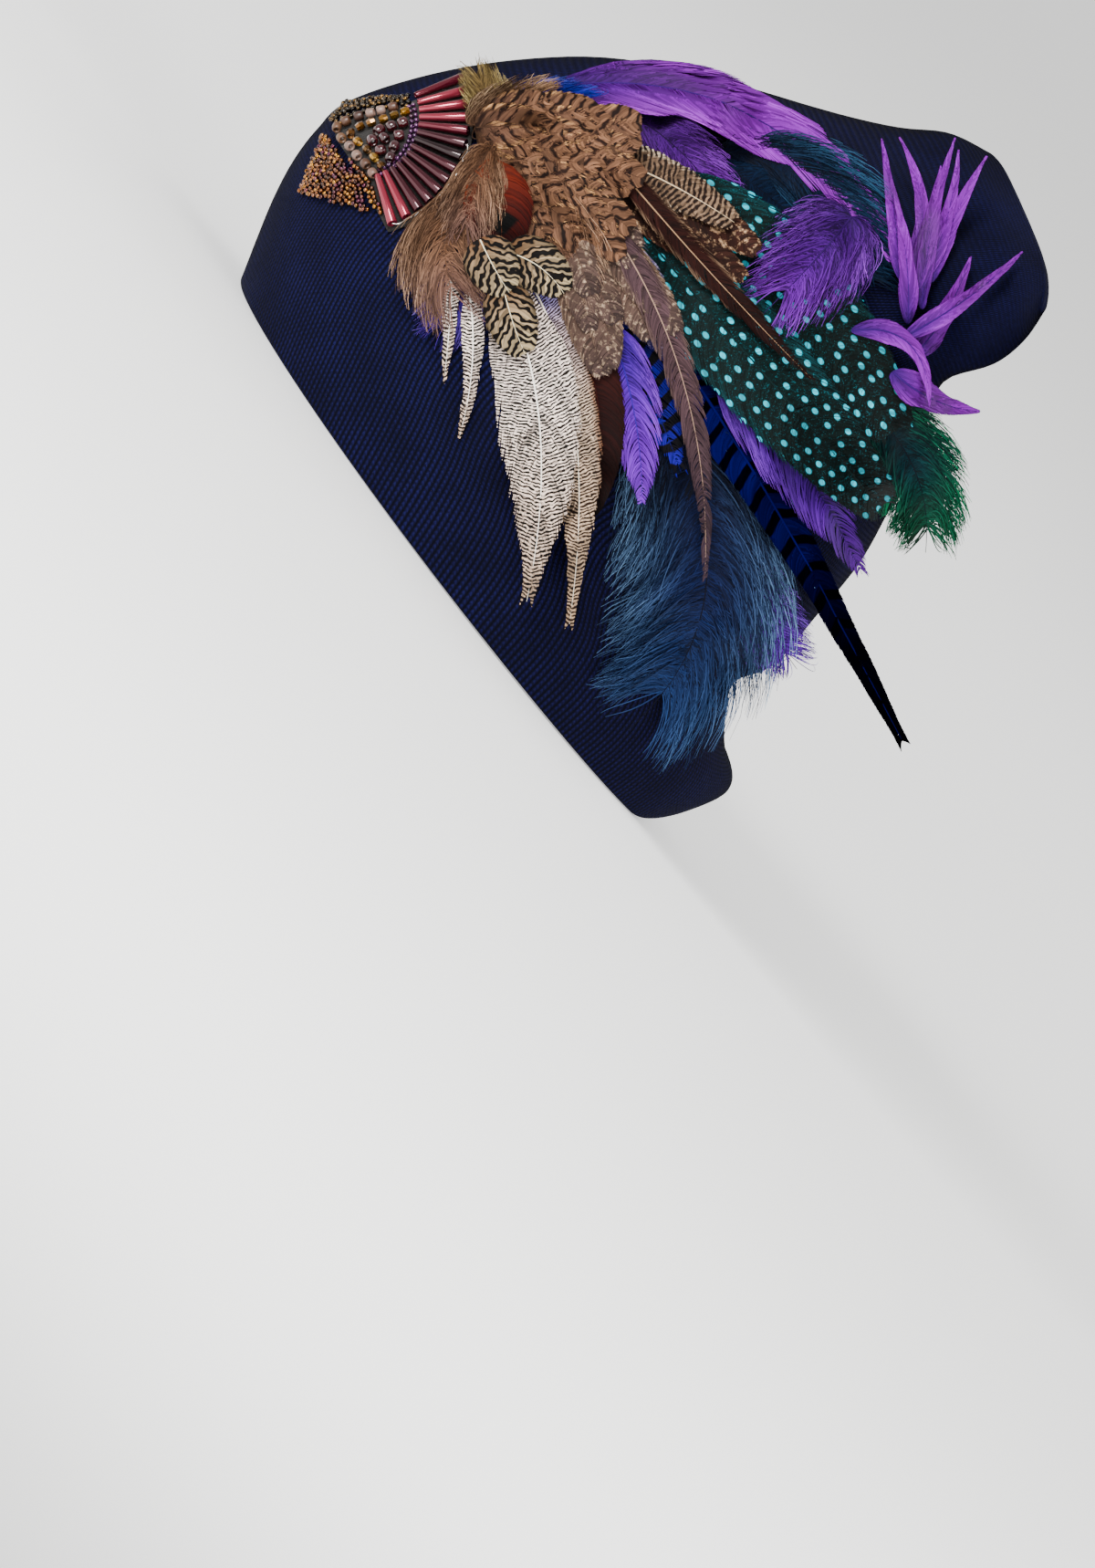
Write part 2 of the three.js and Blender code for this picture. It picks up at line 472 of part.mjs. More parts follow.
// The fan is sewn flat to the knit, so its pieces stand off square to the knit. The spot of the cap that
// lies behind a board point is found by stepping over the knit towards it.
function beadPoint(x, y, lift) {
  const [across, above] = toRim(x, y);
  const spot = { s: 0.4, angle: radians(-60) };
  const step = 1e-4;
  for (let round = 0; round < 40; round++) {
    const here = capPoint(spot.s, spot.angle);
    const upward = capPoint(spot.s + step, spot.angle).sub(here).divideScalar(step);
    const onward = capPoint(spot.s, spot.angle + step).sub(here).divideScalar(step);
    const [miss, rest] = [across - here.dot(alongRim), above - here.dot(aboveRim)];
    const [a, b, c, d] = [upward.dot(alongRim), onward.dot(alongRim), upward.dot(aboveRim), onward.dot(aboveRim)];
    const area = a * d - b * c;
    spot.s += THREE.MathUtils.clamp((miss * d - rest * b) / area, -0.05, 0.05);
    spot.angle += THREE.MathUtils.clamp((rest * a - miss * c) / area, -0.1, 0.1);
  }
  const here = capPoint(spot.s, spot.angle);
  const upward = capPoint(spot.s + step, spot.angle).sub(here);
  const onward = capPoint(spot.s, spot.angle + step).sub(here);
  return here.addScaledVector(onward.cross(upward).normalize(), lift);
}

// A plate between two edges given by their board points.
function ruledPlate(upper, lower, lift, thickness, across = 3) {
  const rows = upper.map((start, j) => {
    const end = lower[j];
    return Array.from({ length: across + 1 }, (_, i) => {
      const t = i / across;
      return [mix(start[0], end[0], t), mix(start[1], end[1], t)];
    });
  });
  return plateGeometry(rows, () => lift, thickness, beadPoint);
}

// The felt under the chevron and the bugles. Its near edge follows the outside of the chevron, from the
// end of the upper arm round the point to the end of the lower arm.
const chevronEdge = [
  board(0.05, 0.0175), board(0.02, 0.0135), board(-0.01, 0.007), board(-0.028, -0.003), board(-0.0235, -0.018),
  board(-0.009, -0.04), board(0.0105, -0.078),
];

function backingGeometry() {
  const outerRadius = bugleInnerRadius + bugleLength + 1;
  const inner = [];
  const outer = [];
  const turns = 2 * (chevronEdge.length - 1);
  for (let k = 0; k <= turns; k++) {
    outer.push(polar(outerRadius, mix(fanStart + 4, fanEnd - 4, k / turns)));
    const [from, to] = [chevronEdge[Math.floor(k / 2)], chevronEdge[Math.ceil(k / 2)]];
    inner.push([(from[0] + to[0]) / 2, (from[1] + to[1]) / 2]);
  }
  return ruledPlate(outer, inner, backingLift, backingThickness, 4);
}

const seedFields = [
  {
    name: "seed_field_upper",
    upper: [board(-0.034, 0.01), board(-0.021, 0.026), board(0.018, 0.03), board(0.053, 0.032)],
    lower: [board(-0.028, 0.002), board(-0.012, 0.0125), board(0.018, 0.0185), board(0.05, 0.0225)],
  },
  {
    name: "seed_field_lower",
    upper: [board(-0.044, -0.008), board(-0.056, -0.034), board(-0.066, -0.058), board(-0.071, -0.072)],
    lower: [board(-0.034, -0.016), board(-0.016, -0.042), board(-0.0, -0.062), board(0.009, -0.096)],
  },
];

// Rows of larger beads that make the chevron between the wings and the fan.
const beadRows = [
  {
    name: "frosted_beads",
    diameter: frostedDiameter,
    places: [
      [0.036, 0.015], [0.0235, 0.0125], [0.0115, 0.0085], [-0.001, 0.0055], [-0.0135, 0.002], [-0.0245, -0.0065],
      [-0.0185, -0.0175], [-0.0105, -0.0275], [-0.0015, -0.0365], [0.0065, -0.0465], [0.0145, -0.0565],
    ],
  },
  {
    name: "gold_beads",
    diameter: goldDiameter,
    places: [
      [0.0485, 0.0105], [0.037, 0.0065], [0.025, 0.0025], [0.0125, -0.0015], [0.001, -0.0055], [-0.0085, -0.0125],
      [-0.001, -0.0215], [0.0075, -0.0305], [0.0155, -0.0395], [0.0235, -0.0485],
    ],
  },
  {
    name: "garnet_beads",
    diameter: garnetDiameter,
    places: [
      [0.0465, -0.0025], [0.034, -0.0065], [0.021, -0.0105], [0.0135, -0.0215], [0.0265, -0.0195], [0.0225, -0.0325],
    ],
  },
];
const beadSides = 10;
const beadBands = 4;

function solidOf(geometry) {
  const bare = geometry.clone();
  bare.deleteAttribute("normal");
  bare.deleteAttribute("uv");
  const merged = mergeVertices(bare, 1e-4);
  return new wasm.Manifold(
    new wasm.Mesh({
      numProp: 3,
      vertProperties: merged.attributes.position.array,
      triVerts: new Uint32Array(merged.index.array),
    }),
  );
}

function geometryFrom(solid) {
  const mesh = solid.getMesh();
  const geometry = new THREE.BufferGeometry();
  geometry.setAttribute("position", new THREE.BufferAttribute(mesh.vertProperties, 3));
  geometry.setIndex(new THREE.BufferAttribute(mesh.triVerts, 1));
  geometry.computeVertexNormals();
  return geometry;
}

// A tube between two points, for bugles and for the thread that a row of beads is strung on.
function rodGeometry(from, to, diameter, sides) {
  const length = from.distanceTo(to);
  const rod = new THREE.CylinderGeometry(diameter / 2, diameter / 2, length, sides);
  const turned = new THREE.Quaternion().setFromUnitVectors(
    new THREE.Vector3(0, 1, 0),
    to.clone().sub(from).divideScalar(length),
  );
  rod.applyQuaternion(turned);
  const middle = from.clone().add(to).multiplyScalar(0.5);
  rod.translate(middle.x, middle.y, middle.z);
  return rod;
}

function beadRowGeometry(row) {
  const spots = row.places.map(([x, y]) => beadPoint(x * trimSpan, y * trimSpan, onBacking + row.diameter / 2));
  let joined = null;
  spots.forEach((spot, k) => {
    const bead = new THREE.SphereGeometry(row.diameter / 2, beadSides, beadBands);
    bead.translate(spot.x, spot.y, spot.z);
    const solid = solidOf(bead);
    joined = joined ? joined.add(solid) : solid;
    if (k > 0) joined = joined.add(solidOf(rodGeometry(spots[k - 1], spot, threadDiameter, 4)));
  });
  return geometryFrom(joined);
}

function bugleGeometry(degrees) {
  const lift = onBacking + bugleDiameter / 2 + 0.4;
  const ends = [bugleInnerRadius, bugleInnerRadius + bugleLength].map((radius) =>
    beadPoint(...polar(radius, degrees), lift),
  );
  return rodGeometry(ends[0], ends[1], bugleDiameter, 10);
}

// Finishes.
const finish = (colour, roughness, metalness = 0) =>
  new THREE.MeshStandardMaterial({ color: colour, roughness, metalness });
const finishes = {
  knit: finish("#151a48", 0.9),
  felt: finish("#20261c", 0.95),
  bronzeSeeds: finish("#8a5a24", 0.3, 0.4),
  frosted: finish("#a07a72", 0.5),
  gold: finish("#c9a13a", 0.25, 0.5),
  garnet: finish("#3a0c10", 0.15),
  bugle: finish("#7a3c4c", 0.2),
  feather: finish("#5a3a80", 0.7),
};

const hat = new THREE.Group();
function add(name, geometry, material) {
  const mesh = new THREE.Mesh(geometry, material);
  mesh.name = name;
  hat.add(mesh);
}

add("knit_cap", capGeometry(), finishes.knit);
add("bead_backing", backingGeometry(), finishes.felt);
for (const field of seedFields)
  add(field.name, ruledPlate(field.upper, field.lower, backingLift + 0.35, seedFieldThickness), finishes.bronzeSeeds);
beadRows.forEach((row, k) =>
  add(row.name, beadRowGeometry(row), [finishes.frosted, finishes.gold, finishes.garnet][k]),
);
for (let k = 0; k < bugleCount; k++)
  add(
    `bugle_${String(k + 1).padStart(2, "0")}`,
    bugleGeometry(mix(fanStart, fanEnd, k / (bugleCount - 1))),
    finishes.bugle,
  );
for (const feather of feathers) add(feather.name, featherGeometry(feather), finishes.feather);

export default hat;
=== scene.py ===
# Flapper hat: a ribbed navy knit cap, a beaded fan at the brow and a sweep of dyed and natural feathers.
# The row frame is in metres. Sizes named here are in millimetres, and divided by perMetre where they are used.
import math

import bpy
import numpy as np
from mathutils import Matrix, Vector
from mathutils.bvhtree import BVHTree


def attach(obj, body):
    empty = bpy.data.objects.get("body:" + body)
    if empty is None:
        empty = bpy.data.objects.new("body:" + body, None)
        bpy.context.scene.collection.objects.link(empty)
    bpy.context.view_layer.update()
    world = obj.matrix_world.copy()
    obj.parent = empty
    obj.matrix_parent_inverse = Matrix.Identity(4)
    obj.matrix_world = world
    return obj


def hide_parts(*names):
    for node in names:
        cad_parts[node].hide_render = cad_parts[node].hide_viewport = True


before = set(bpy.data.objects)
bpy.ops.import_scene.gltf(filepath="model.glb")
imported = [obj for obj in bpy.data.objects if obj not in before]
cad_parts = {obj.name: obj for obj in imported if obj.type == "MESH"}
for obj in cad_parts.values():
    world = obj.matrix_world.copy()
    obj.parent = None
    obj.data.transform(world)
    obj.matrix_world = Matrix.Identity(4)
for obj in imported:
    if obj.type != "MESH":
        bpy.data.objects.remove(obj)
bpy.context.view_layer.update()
dice = np.random.default_rng(26)
perMetre = 1000
print("frame loaded:", len(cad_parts), "nodes")


def toLinear(hexColour):
    channels = [int(hexColour[i:i + 2], 16) / 255 for i in (1, 3, 5)]
    return [c / 12.92 if c <= 0.04045 else ((c + 0.055) / 1.055) ** 2.4 for c in channels] + [1.0]


# Adds a node with its links and settings. A node given as an input stands for its first output, and stops are
# the places and colours of a ramp.
def put(tree, kind, inputs, stops=(), **settings):
    node = tree.nodes.new("ShaderNode" + kind)
    for key, value in settings.items():
        setattr(node, key, value)
    if stops:
        elements = node.color_ramp.elements
        while len(elements) < len(stops):
            elements.new(0.5)
        for element, (place, _) in zip(elements, stops):
            element.position = place
        for element, (_, colour) in zip(elements, stops):
            element.color = toLinear(colour)
    for key, value in inputs.items():
        if isinstance(value, bpy.types.Node):
            value = value.outputs[0]
        if isinstance(value, bpy.types.NodeSocket):
            tree.links.new(value, node.inputs[key])
        else:
            node.inputs[key].default_value = value
    return node


def newMaterial(name, sockets):
    material = bpy.data.materials.new(name)
    material.use_nodes = True
    shader = material.node_tree.nodes["Principled BSDF"]
    for key, value in sockets.items():
        shader.inputs[key].default_value = value
    return material, material.node_tree, shader


# How far a running count is from the middle of its own step: 0.5 where one step meets the next.
def offMiddle(tree, count):
    part = put(tree, "Math", {0: count}, operation="FRACT")
    part = put(tree, "Math", {0: part, 1: 0.5}, operation="SUBTRACT")
    return put(tree, "Math", {0: part}, operation="ABSOLUTE")


def newObject(name, data):
    added = bpy.data.objects.new(name, data)
    bpy.context.scene.collection.objects.link(added)
    return added


def selectOnly(piece):
    bpy.ops.object.select_all(action="DESELECT")
    piece.select_set(True)
    bpy.context.view_layer.objects.active = piece


def smoothStep(low, high, x):
    t = np.clip((x - low) / (high - low), 0, 1)
    return t * t * (3 - 2 * t)


# The knit cap. Its sections go from the rim to the ridge, as in the part: up is a share of the height, back of
# the rim's length, depth of half the length and width of half the width. lean and roll are degrees.
cap = {
    "rimLength": 218,
    "rimWidth": 170,
    "height": 198,
    "wall": 3,
    "napeRise": 24,
    "wales": 340,  # ribs round the rim, 1.8 mm apart
    "ribRelief": 0.24,
    "uneven": 0.3,
    "outerRows": 72,
    "innerRows": 22,
    "innerTop": 0.965,
    "courseHeight": 1.5,
    "cornerDrop": 6,  # how far the ridge's two ends hang down
    "sections": [
        (0.0, -0.026, 1.0, 1.0, 0, 0),
        (0.06, -0.042, 1.045, 1.02, 0, 0),
        (0.12, -0.07, 1.06, 1.04, 0, 0),
        (0.175, -0.115, 1.02, 1.05, 0, 0),
        (0.23, -0.143, 0.995, 1.05, 0, 0),
        (0.29, -0.143, 1.005, 1.05, 0, 0),
        (0.4, -0.135, 0.935, 1.03, 1, 0),
        (0.51, -0.117, 0.845, 0.98, 2, 1),
        (0.61, -0.092, 0.715, 0.93, 5, 1.5),
        (0.71, -0.048, 0.53, 0.87, 9, 2),
        (0.79, -0.01, 0.36, 0.81, 13, 2.5),
        (0.875, 0.037, 0.215, 0.765, 18, 3),
        (0.94, 0.06, 0.135, 0.7, 22, 3),
        (0.985, 0.08, 0.06, 0.58, 24, 3),
    ],
    # soft dents: how far up, degrees round, reach up, reach round, depth
    "folds": [(0.72, 262, 0.07, 40, 0.03), (0.83, 250, 0.06, 45, 0.05), (0.3, 88, 0.06, 38, 0.03),
              (0.775, 48, 0.055, 42, 0.13)],
}
capTable = np.array(cap["sections"], float)


def sectionAt(column, s):
    place = s * (len(capTable) - 1)
    k = np.clip(np.floor(place), 0, len(capTable) - 2).astype(int)
    t = place - k
    a, b, c, d = (capTable[np.clip(k + i, 0, len(capTable) - 1), column] for i in (-1, 0, 1, 2))
    return 0.5 * (2 * b + (c - a) * t + (2 * a - 5 * b + 4 * c - d) * t**2 + (3 * b - a - 3 * c + d) * t**3)


# A place on the knit, s from the rim to the ridge. flat below 1 presses the section towards the ridge line.
def capPoint(s, angle, inset, flat):
    lean, roll = np.radians(sectionAt(4, s)), np.radians(sectionAt(5, s))
    dent = 1.0
    for up, at, reachUp, reachRound, depth in cap["folds"]:
        around = np.abs((np.degrees(angle) - at + 540) % 360 - 180) / reachRound
        dent = dent - depth * np.exp(-around**2 - ((s - up) / reachUp) ** 2)
    across = (sectionAt(3, s) * cap["rimWidth"] / 2 - inset) * np.cos(angle) * dent
    along = (sectionAt(2, s) * cap["rimLength"] / 2 - inset) * np.sin(angle) * dent * flat
    nape = smoothStep(0.64, 1.05, np.sin(angle)) * np.maximum(0, 1 - s / 0.2) ** 1.2
    hang = cap["cornerDrop"] * smoothStep(0.8, 1, s) * np.cos(angle) ** 6
    back = sectionAt(1, s) * cap["rimLength"] + along * np.cos(lean)
    up = sectionAt(0, s) * cap["height"] - across * np.sin(roll) - along * np.sin(lean)
    return np.stack([across * np.cos(roll), back, up + cap["napeRise"] * nape - hang], -1)


# Rows of the cap's skin, from the ridge down the outside, under the hem and up the inside:
# place up the cap, inset, how flat the section is, how far it is raised, and whether it is ribbed
def capRows():
    rows = [(1, 0, flat, lift, 0.3) for flat, lift in ((0, 1.6), (0.35, 1.4), (0.7, 0.9))]
    rows += [(s, 0, 1, 0, min(1, 12 * s + 0.2)) for s in np.linspace(1, 0, cap["outerRows"])]
    wall = cap["wall"]
    rows += [(0, inset, 1, -drop, 0) for inset, drop in ((0.25 * wall, 0.5), (0.75 * wall, 0.5))]
    rows += [(s, wall, 1, 0, 0.6) for s in np.linspace(0, cap["innerTop"], cap["innerRows"])]
    rows += [(cap["innerTop"], wall, flat, lift, 0) for flat, lift in ((0.6, 0.6), (0, 1.0))]
    return np.array(rows)


def makeKnitCap():
    rows = capRows()
    columns = 2 * cap["wales"]
    bpy.ops.object.select_all(action="DESELECT")
    bpy.ops.mesh.primitive_grid_add(x_subdivisions=columns, y_subdivisions=len(rows) - 1, size=1)
    piece = bpy.context.object
    piece.name = piece.data.name = "knitCap"
    mesh = piece.data
    places = np.zeros(3 * len(mesh.vertices))
    mesh.vertices.foreach_get("co", places)
    places = places.reshape(-1, 3) + 0.5
    column = np.rint(places[:, 0] * columns).astype(int)
    row = np.rint(places[:, 1] * (len(rows) - 1)).astype(int)
    s, inset, flat, lift, ribbed = (rows[row, i] for i in range(5))
    angle = 2 * np.pi * (column % columns) / columns
    points = capPoint(s, angle, inset, flat)
    points[:, 2] += lift * np.abs(np.sin(angle))
    # each second column is a furrow between two ribs, and the knit is nowhere quite even
    out = np.stack([np.cos(angle) / cap["rimWidth"], np.sin(angle) / cap["rimLength"],
                    0.15 / cap["height"] + 0 * s], -1)
    out /= np.linalg.norm(out, axis=1)[:, None]
    uneven = cap["uneven"] * np.sin(7 * angle + 9 * s) * np.sin(11 * s + 2 * np.cos(3 * angle)) * np.minimum(1, 6 * s)
    side = np.where(inset > cap["wall"] / 2, -1, 1)
    furrow = -cap["ribRelief"] * (column % 2) * ribbed * side
    points += out * (furrow + uneven * flat)[:, None]
    mesh.vertices.foreach_set("co", (points / perMetre).ravel())
    # the map counts wales one way and courses the other
    firstColumn = capPoint(rows[:, 0], np.full(len(rows), 0.3), rows[:, 1], rows[:, 2])
    steps = np.linalg.norm(np.diff(firstColumn, axis=0), axis=1)
    courses = np.concatenate([[0], np.cumsum(steps)]) / cap["courseHeight"]
    loops = np.zeros(len(mesh.loops), int)
    mesh.loops.foreach_get("vertex_index", loops)
    knitMap = np.stack([column[loops] / 2, courses[row[loops]]], -1)
    mesh.uv_layers[0].name = "knit"
    mesh.uv_layers[0].data.foreach_set("uv", knitMap.ravel())
    mesh.polygons.foreach_set("use_smooth", [True] * len(mesh.polygons))
    selectOnly(piece)
    bpy.ops.object.mode_set(mode="EDIT")
    bpy.ops.mesh.select_all(action="SELECT")
    bpy.ops.mesh.remove_doubles(threshold=0.005 / perMetre)
    bpy.ops.mesh.normals_make_consistent(inside=False)
    bpy.ops.object.mode_set(mode="OBJECT")
    piece.data.materials.append(knitMaterial())
    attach(piece, "root")
    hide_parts("knit_cap")
    print("knit cap:", len(piece.data.polygons), "faces")


# Soft acrylic and wool yarn, machine ribbed: matt and fuzzy. Its colour has painted light and shade: lit navy on the
# ribs and near black between them.
def knitMaterial():
    material, tree, shader = newMaterial("wool rib knit, matt", {"Roughness": 0.95, "Specular IOR Level": 0.08})
    parts = put(tree, "SeparateXYZ", {0: put(tree, "UVMap", {}, uv_map="knit")})
    wale = offMiddle(tree, parts.outputs[0])
    # the two legs of a stitch lean in to the middle of the wale: a V in each course
    slant = put(tree, "Math", {0: wale, 1: 1.1}, operation="MULTIPLY")
    course = offMiddle(tree, put(tree, "Math", {0: parts.outputs[1], 1: slant}, operation="SUBTRACT"))
    where = put(tree, "TexCoord", {}).outputs["Object"]
    fuzz = put(tree, "TexNoise", {"Vector": where, "Scale": 900, "Detail": 2, "Roughness": 0.6})  # 1.1 mm
    patch = put(tree, "TexNoise", {"Vector": where, "Scale": 45, "Detail": 2, "Roughness": 0.5})  # 22 mm
    # painted light and shade: light falls from 1 in the middle of a wale to 0 where two wales meet, and the V of each
    # course darkens it in part; fuzz and patches vary it at random
    light = put(tree, "MapRange", {0: wale, 1: 0.12, 2: 0.46, 3: 1.0, 4: 0.0})
    for part, gain, least in ((course, 0.9, 0.5), (fuzz, 1.0, 0.45), (patch, 1.0, 0.5)):
        share = put(tree, "Math", {0: part, 1: gain, 2: least}, operation="MULTIPLY_ADD")
        light = put(tree, "Math", {0: light, 1: share}, operation="MULTIPLY")
    # the navy from painted shade, near black, to lit
    colour = put(tree, "ValToRGB", {0: light}, [(0.05, "#02020b"), (0.5, "#060620"), (1.0, "#11103c")])
    relief = put(tree, "Math", {0: course, 1: 1.6}, operation="MULTIPLY")
    relief = put(tree, "Math", {0: fuzz, 1: 0.7, 2: relief}, operation="MULTIPLY_ADD")
    bump = put(tree, "Bump", {"Height": relief, "Distance": 0.4 / perMetre, "Strength": 0.6})
    tree.links.new(colour.outputs[0], shader.inputs["Base Color"])
    tree.links.new(bump.outputs[0], shader.inputs["Normal"])
    return material


# The trim board: the trim is laid out flat, facing the trimmed side, and lies on the cap.
board = {
    "turn": 60,
    "rise": 5,
    "roll": 53.9,
    "span": 270,  # millimetres that the feathers' shares are of
    "fanAcross": -0.563 * cap["rimLength"],
    "fanAbove": 0.267 * cap["height"],
    "farOut": 320,  # rays start here, outside all
}
turn, rise, boardRoll = (math.radians(board[key]) for key in ("turn", "rise", "roll"))
alongRim = np.array([math.cos(turn), math.sin(turn), 0])
boardOut = np.array([math.sin(turn) * math.cos(rise), -math.cos(turn) * math.cos(rise), math.sin(rise)])
aboveRim = np.cross(boardOut, alongRim)


# Board millimetres right and up of the fan's middle, and out from the board, to the row frame in metres.
def fromBoard(x, y, out):
    x, y, out = (np.asarray(n, float)[..., None] for n in (x, y, out))
    across = board["fanAcross"] + x * math.cos(boardRoll) - y * math.sin(boardRoll)
    above = board["fanAbove"] + x * math.sin(boardRoll) + y * math.cos(boardRoll)
    return (across * alongRim + above * aboveRim + out * boardOut) / perMetre


def cornersOf(nodeName):
    return np.array([v.co[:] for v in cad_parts[nodeName].data.vertices])


def surfaceOf(nodeName):
    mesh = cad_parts[nodeName].data
    return BVHTree.FromPolygons([v.co for v in mesh.vertices], [p.vertices[:] for p in mesh.polygons])


# Where a ray from outside, over a place on the board, first meets a surface, and the normal there.
def meet(surface, x, y):
    return surface.ray_cast(Vector(fromBoard(x, y, board["farOut"])), Vector(-boardOut))[:2]


# Feathers, in the order of the part, from the knit outwards: node, form, look, the quill's root, middle and tip and
# the vane's full width, all as shares of the board's span, and how far its barbs stand up, in millimetres.
feathers = [
    ("ostrich_tail_purple", "plume", "violet ostrich", (0.36, -0.42), (0.425, -0.52), (0.478, -0.596), 0.095, 3),
    ("ostrich_plume_navy", "plume", "navy ostrich", (0.335, -0.33), (0.374, -0.515), (0.285, -0.665), 0.21, 4),
    ("ostrich_plume_green", "lush", "green ostrich", (0.54, -0.3), (0.604, -0.375), (0.617, -0.47), 0.108, 3),
    ("ostrich_navy_upper", "plume", "navy teal ostrich", (0.25, 0.02), (0.42, -0.06), (0.57, -0.2), 0.14, 2),
    ("pheasant_tail_blue", "tail", "blue pheasant tail", (0.335, -0.24), (0.452, -0.42), (0.598, -0.682), 0.08, 0.3),
    ("hackle_purple_right", "hackle", "bright violet hackle",
     (0.39, -0.26), (0.478, -0.37), (0.55, -0.495), 0.085, 1),
    ("marabou_purple_top", "plume", "deep violet marabou", (0.225, 0.03), (0.325, -0.01), (0.405, -0.105), 0.085, 3),
    ("guinea_teal_wide", "contour", "dotted guinea", (0.32, -0.07), (0.47, -0.19), (0.588, -0.345), 0.125, 0.4),
    ("hackle_violet_barred", "hackle", "barred violet hackle",
     (0.23, -0.17), (0.295, -0.26), (0.35, -0.385), 0.085, 1),
    ("goose_purple_crest", "satin", "purple goose", (0.215, 0.042), (0.43, 0.008), (0.585, -0.15), 0.062, 1.5),
    ("guinea_teal_long", "contour", "dotted guinea", (0.29, -0.1), (0.445, -0.28), (0.575, -0.424), 0.11, 0.4),
    ("hackle_purple_left", "hackle", "vivid violet hackle", (0.27, -0.22), (0.298, -0.32), (0.305, -0.42), 0.062, 1),
    ("marabou_purple_sweep", "plume", "bright purple marabou",
     (0.535, -0.1), (0.493, -0.15), (0.435, -0.21), 0.12, 3),
    ("goose_purple_leaf", "spike", "purple goose", (0.58, -0.27), (0.625, -0.3), (0.68, -0.312), 0.045, 1),
    ("pheasant_mahogany", "contour", "mahogany pheasant", (0.215, -0.18), (0.258, -0.31), (0.243, -0.43), 0.06, 0.3),
    ("goose_purple_spikes", "spike", "purple goose", (0.6, -0.225), (0.606, -0.115), (0.617, -0.01), 0.07, 2),
    ("mallard_second", "flank", "tan mallard", (0.188, -0.18), (0.234, -0.34), (0.225, -0.554), 0.055, 0.3),
    ("marabou_purple_edge", "tuft", "violet fluff", (0.12, -0.16), (0.1, -0.2), (0.075, -0.24), 0.08, 2),
    ("pheasant_brown_dark", "contour", "dark speckled pheasant",
     (0.26, -0.05), (0.35, -0.1), (0.44, -0.165), 0.06, 0.4),
    ("goose_purple_spray", "spike", "purple goose", (0.6, -0.255), (0.638, -0.205), (0.667, -0.14), 0.035, 2),
    ("mallard_large", "flank", "cream mallard", (0.156, -0.18), (0.195, -0.34), (0.178, -0.528), 0.09, 0.3),
    ("mallard_small", "slim", "cream mallard", (0.098, -0.17), (0.096, -0.22), (0.09, -0.284), 0.022, 0.3),
    ("pheasant_speckled_buff", "contour", "speckled buff", (0.245, -0.03), (0.325, -0.06), (0.41, -0.11), 0.055, 0.4),
    ("grey_violet_hackle", "hackle", "grey violet hackle", (0.215, -0.08), (0.29, -0.17), (0.345, -0.27), 0.075, 1),
    ("tuft_blue", "tuft", "blue fluff", (0.16, 0.015), (0.205, 0.028), (0.262, 0.024), 0.05, 3),
    ("tuft_olive", "tuft", "olive fluff", (0.142, 0.01), (0.134, 0.04), (0.118, 0.072), 0.055, 3),
    ("goose_purple_curl_up", "spike", "purple goose", (0.59, -0.233), (0.66, -0.19), (0.724, -0.136), 0.028, 2),
    ("mallard_narrow", "slim", "cream mallard", (0.117, -0.18), (0.121, -0.26), (0.106, -0.344), 0.03, 0.3),
    ("hackle_mahogany", "hackle", "white edged mahogany",
     (0.265, -0.03), (0.378, -0.16), (0.495, -0.282), 0.032, 0.6),
    ("pheasant_speckled_mid", "contour", "speckled brown", (0.2, -0.06), (0.255, -0.15), (0.29, -0.265), 0.1, 0.5),
    ("goose_purple_curl_down", "spike", "purple goose", (0.535, -0.225), (0.598, -0.24), (0.62, -0.31), 0.032, 2),
    ("hackle_brown_droop", "hackle", "brown hackle", (0.24, -0.07), (0.347, -0.27), (0.374, -0.5), 0.036, 0.8),
    ("tuft_brown_top", "tuft", "brown fluff", (0.125, 0.0), (0.17, 0.022), (0.222, 0.032), 0.06, 3),
    ("marabou_brown_lower", "spray", "brown marabou", (0.12, -0.08), (0.092, -0.14), (0.115, -0.22), 0.12, 3),
    ("pheasant_body_barred", "contour", "barred pheasant",
     (0.12, -0.015), (0.21, -0.045), (0.305, -0.075), 0.125, 0.6),
    ("heart_rust", "heart", "rust heart", (0.122, -0.05), (0.148, -0.085), (0.152, -0.14), 0.078, 0.5),
    ("partridge_barred", "contour", "barred partridge", (0.125, -0.11), (0.172, -0.165), (0.207, -0.225), 0.085, 0.4),
]

# Loose strands that hang over a larger feather: that feather's node, then as above.
fringes = [
    ("goose_purple_crest", "navy_fringe", "spray", "navy teal ostrich",
     (0.4, -0.03), (0.5, -0.07), (0.575, -0.17), 0.11, 2),
    ("pheasant_body_barred", "brown_wisps", "spray", "brown marabou",
     (0.2, -0.03), (0.21, -0.13), (0.22, -0.2), 0.11, 2),
    ("heart_rust", "heart_wisps", "spray", "brown marabou",
     (0.14, -0.03), (0.122, -0.075), (0.112, -0.135), 0.075, 2),
]

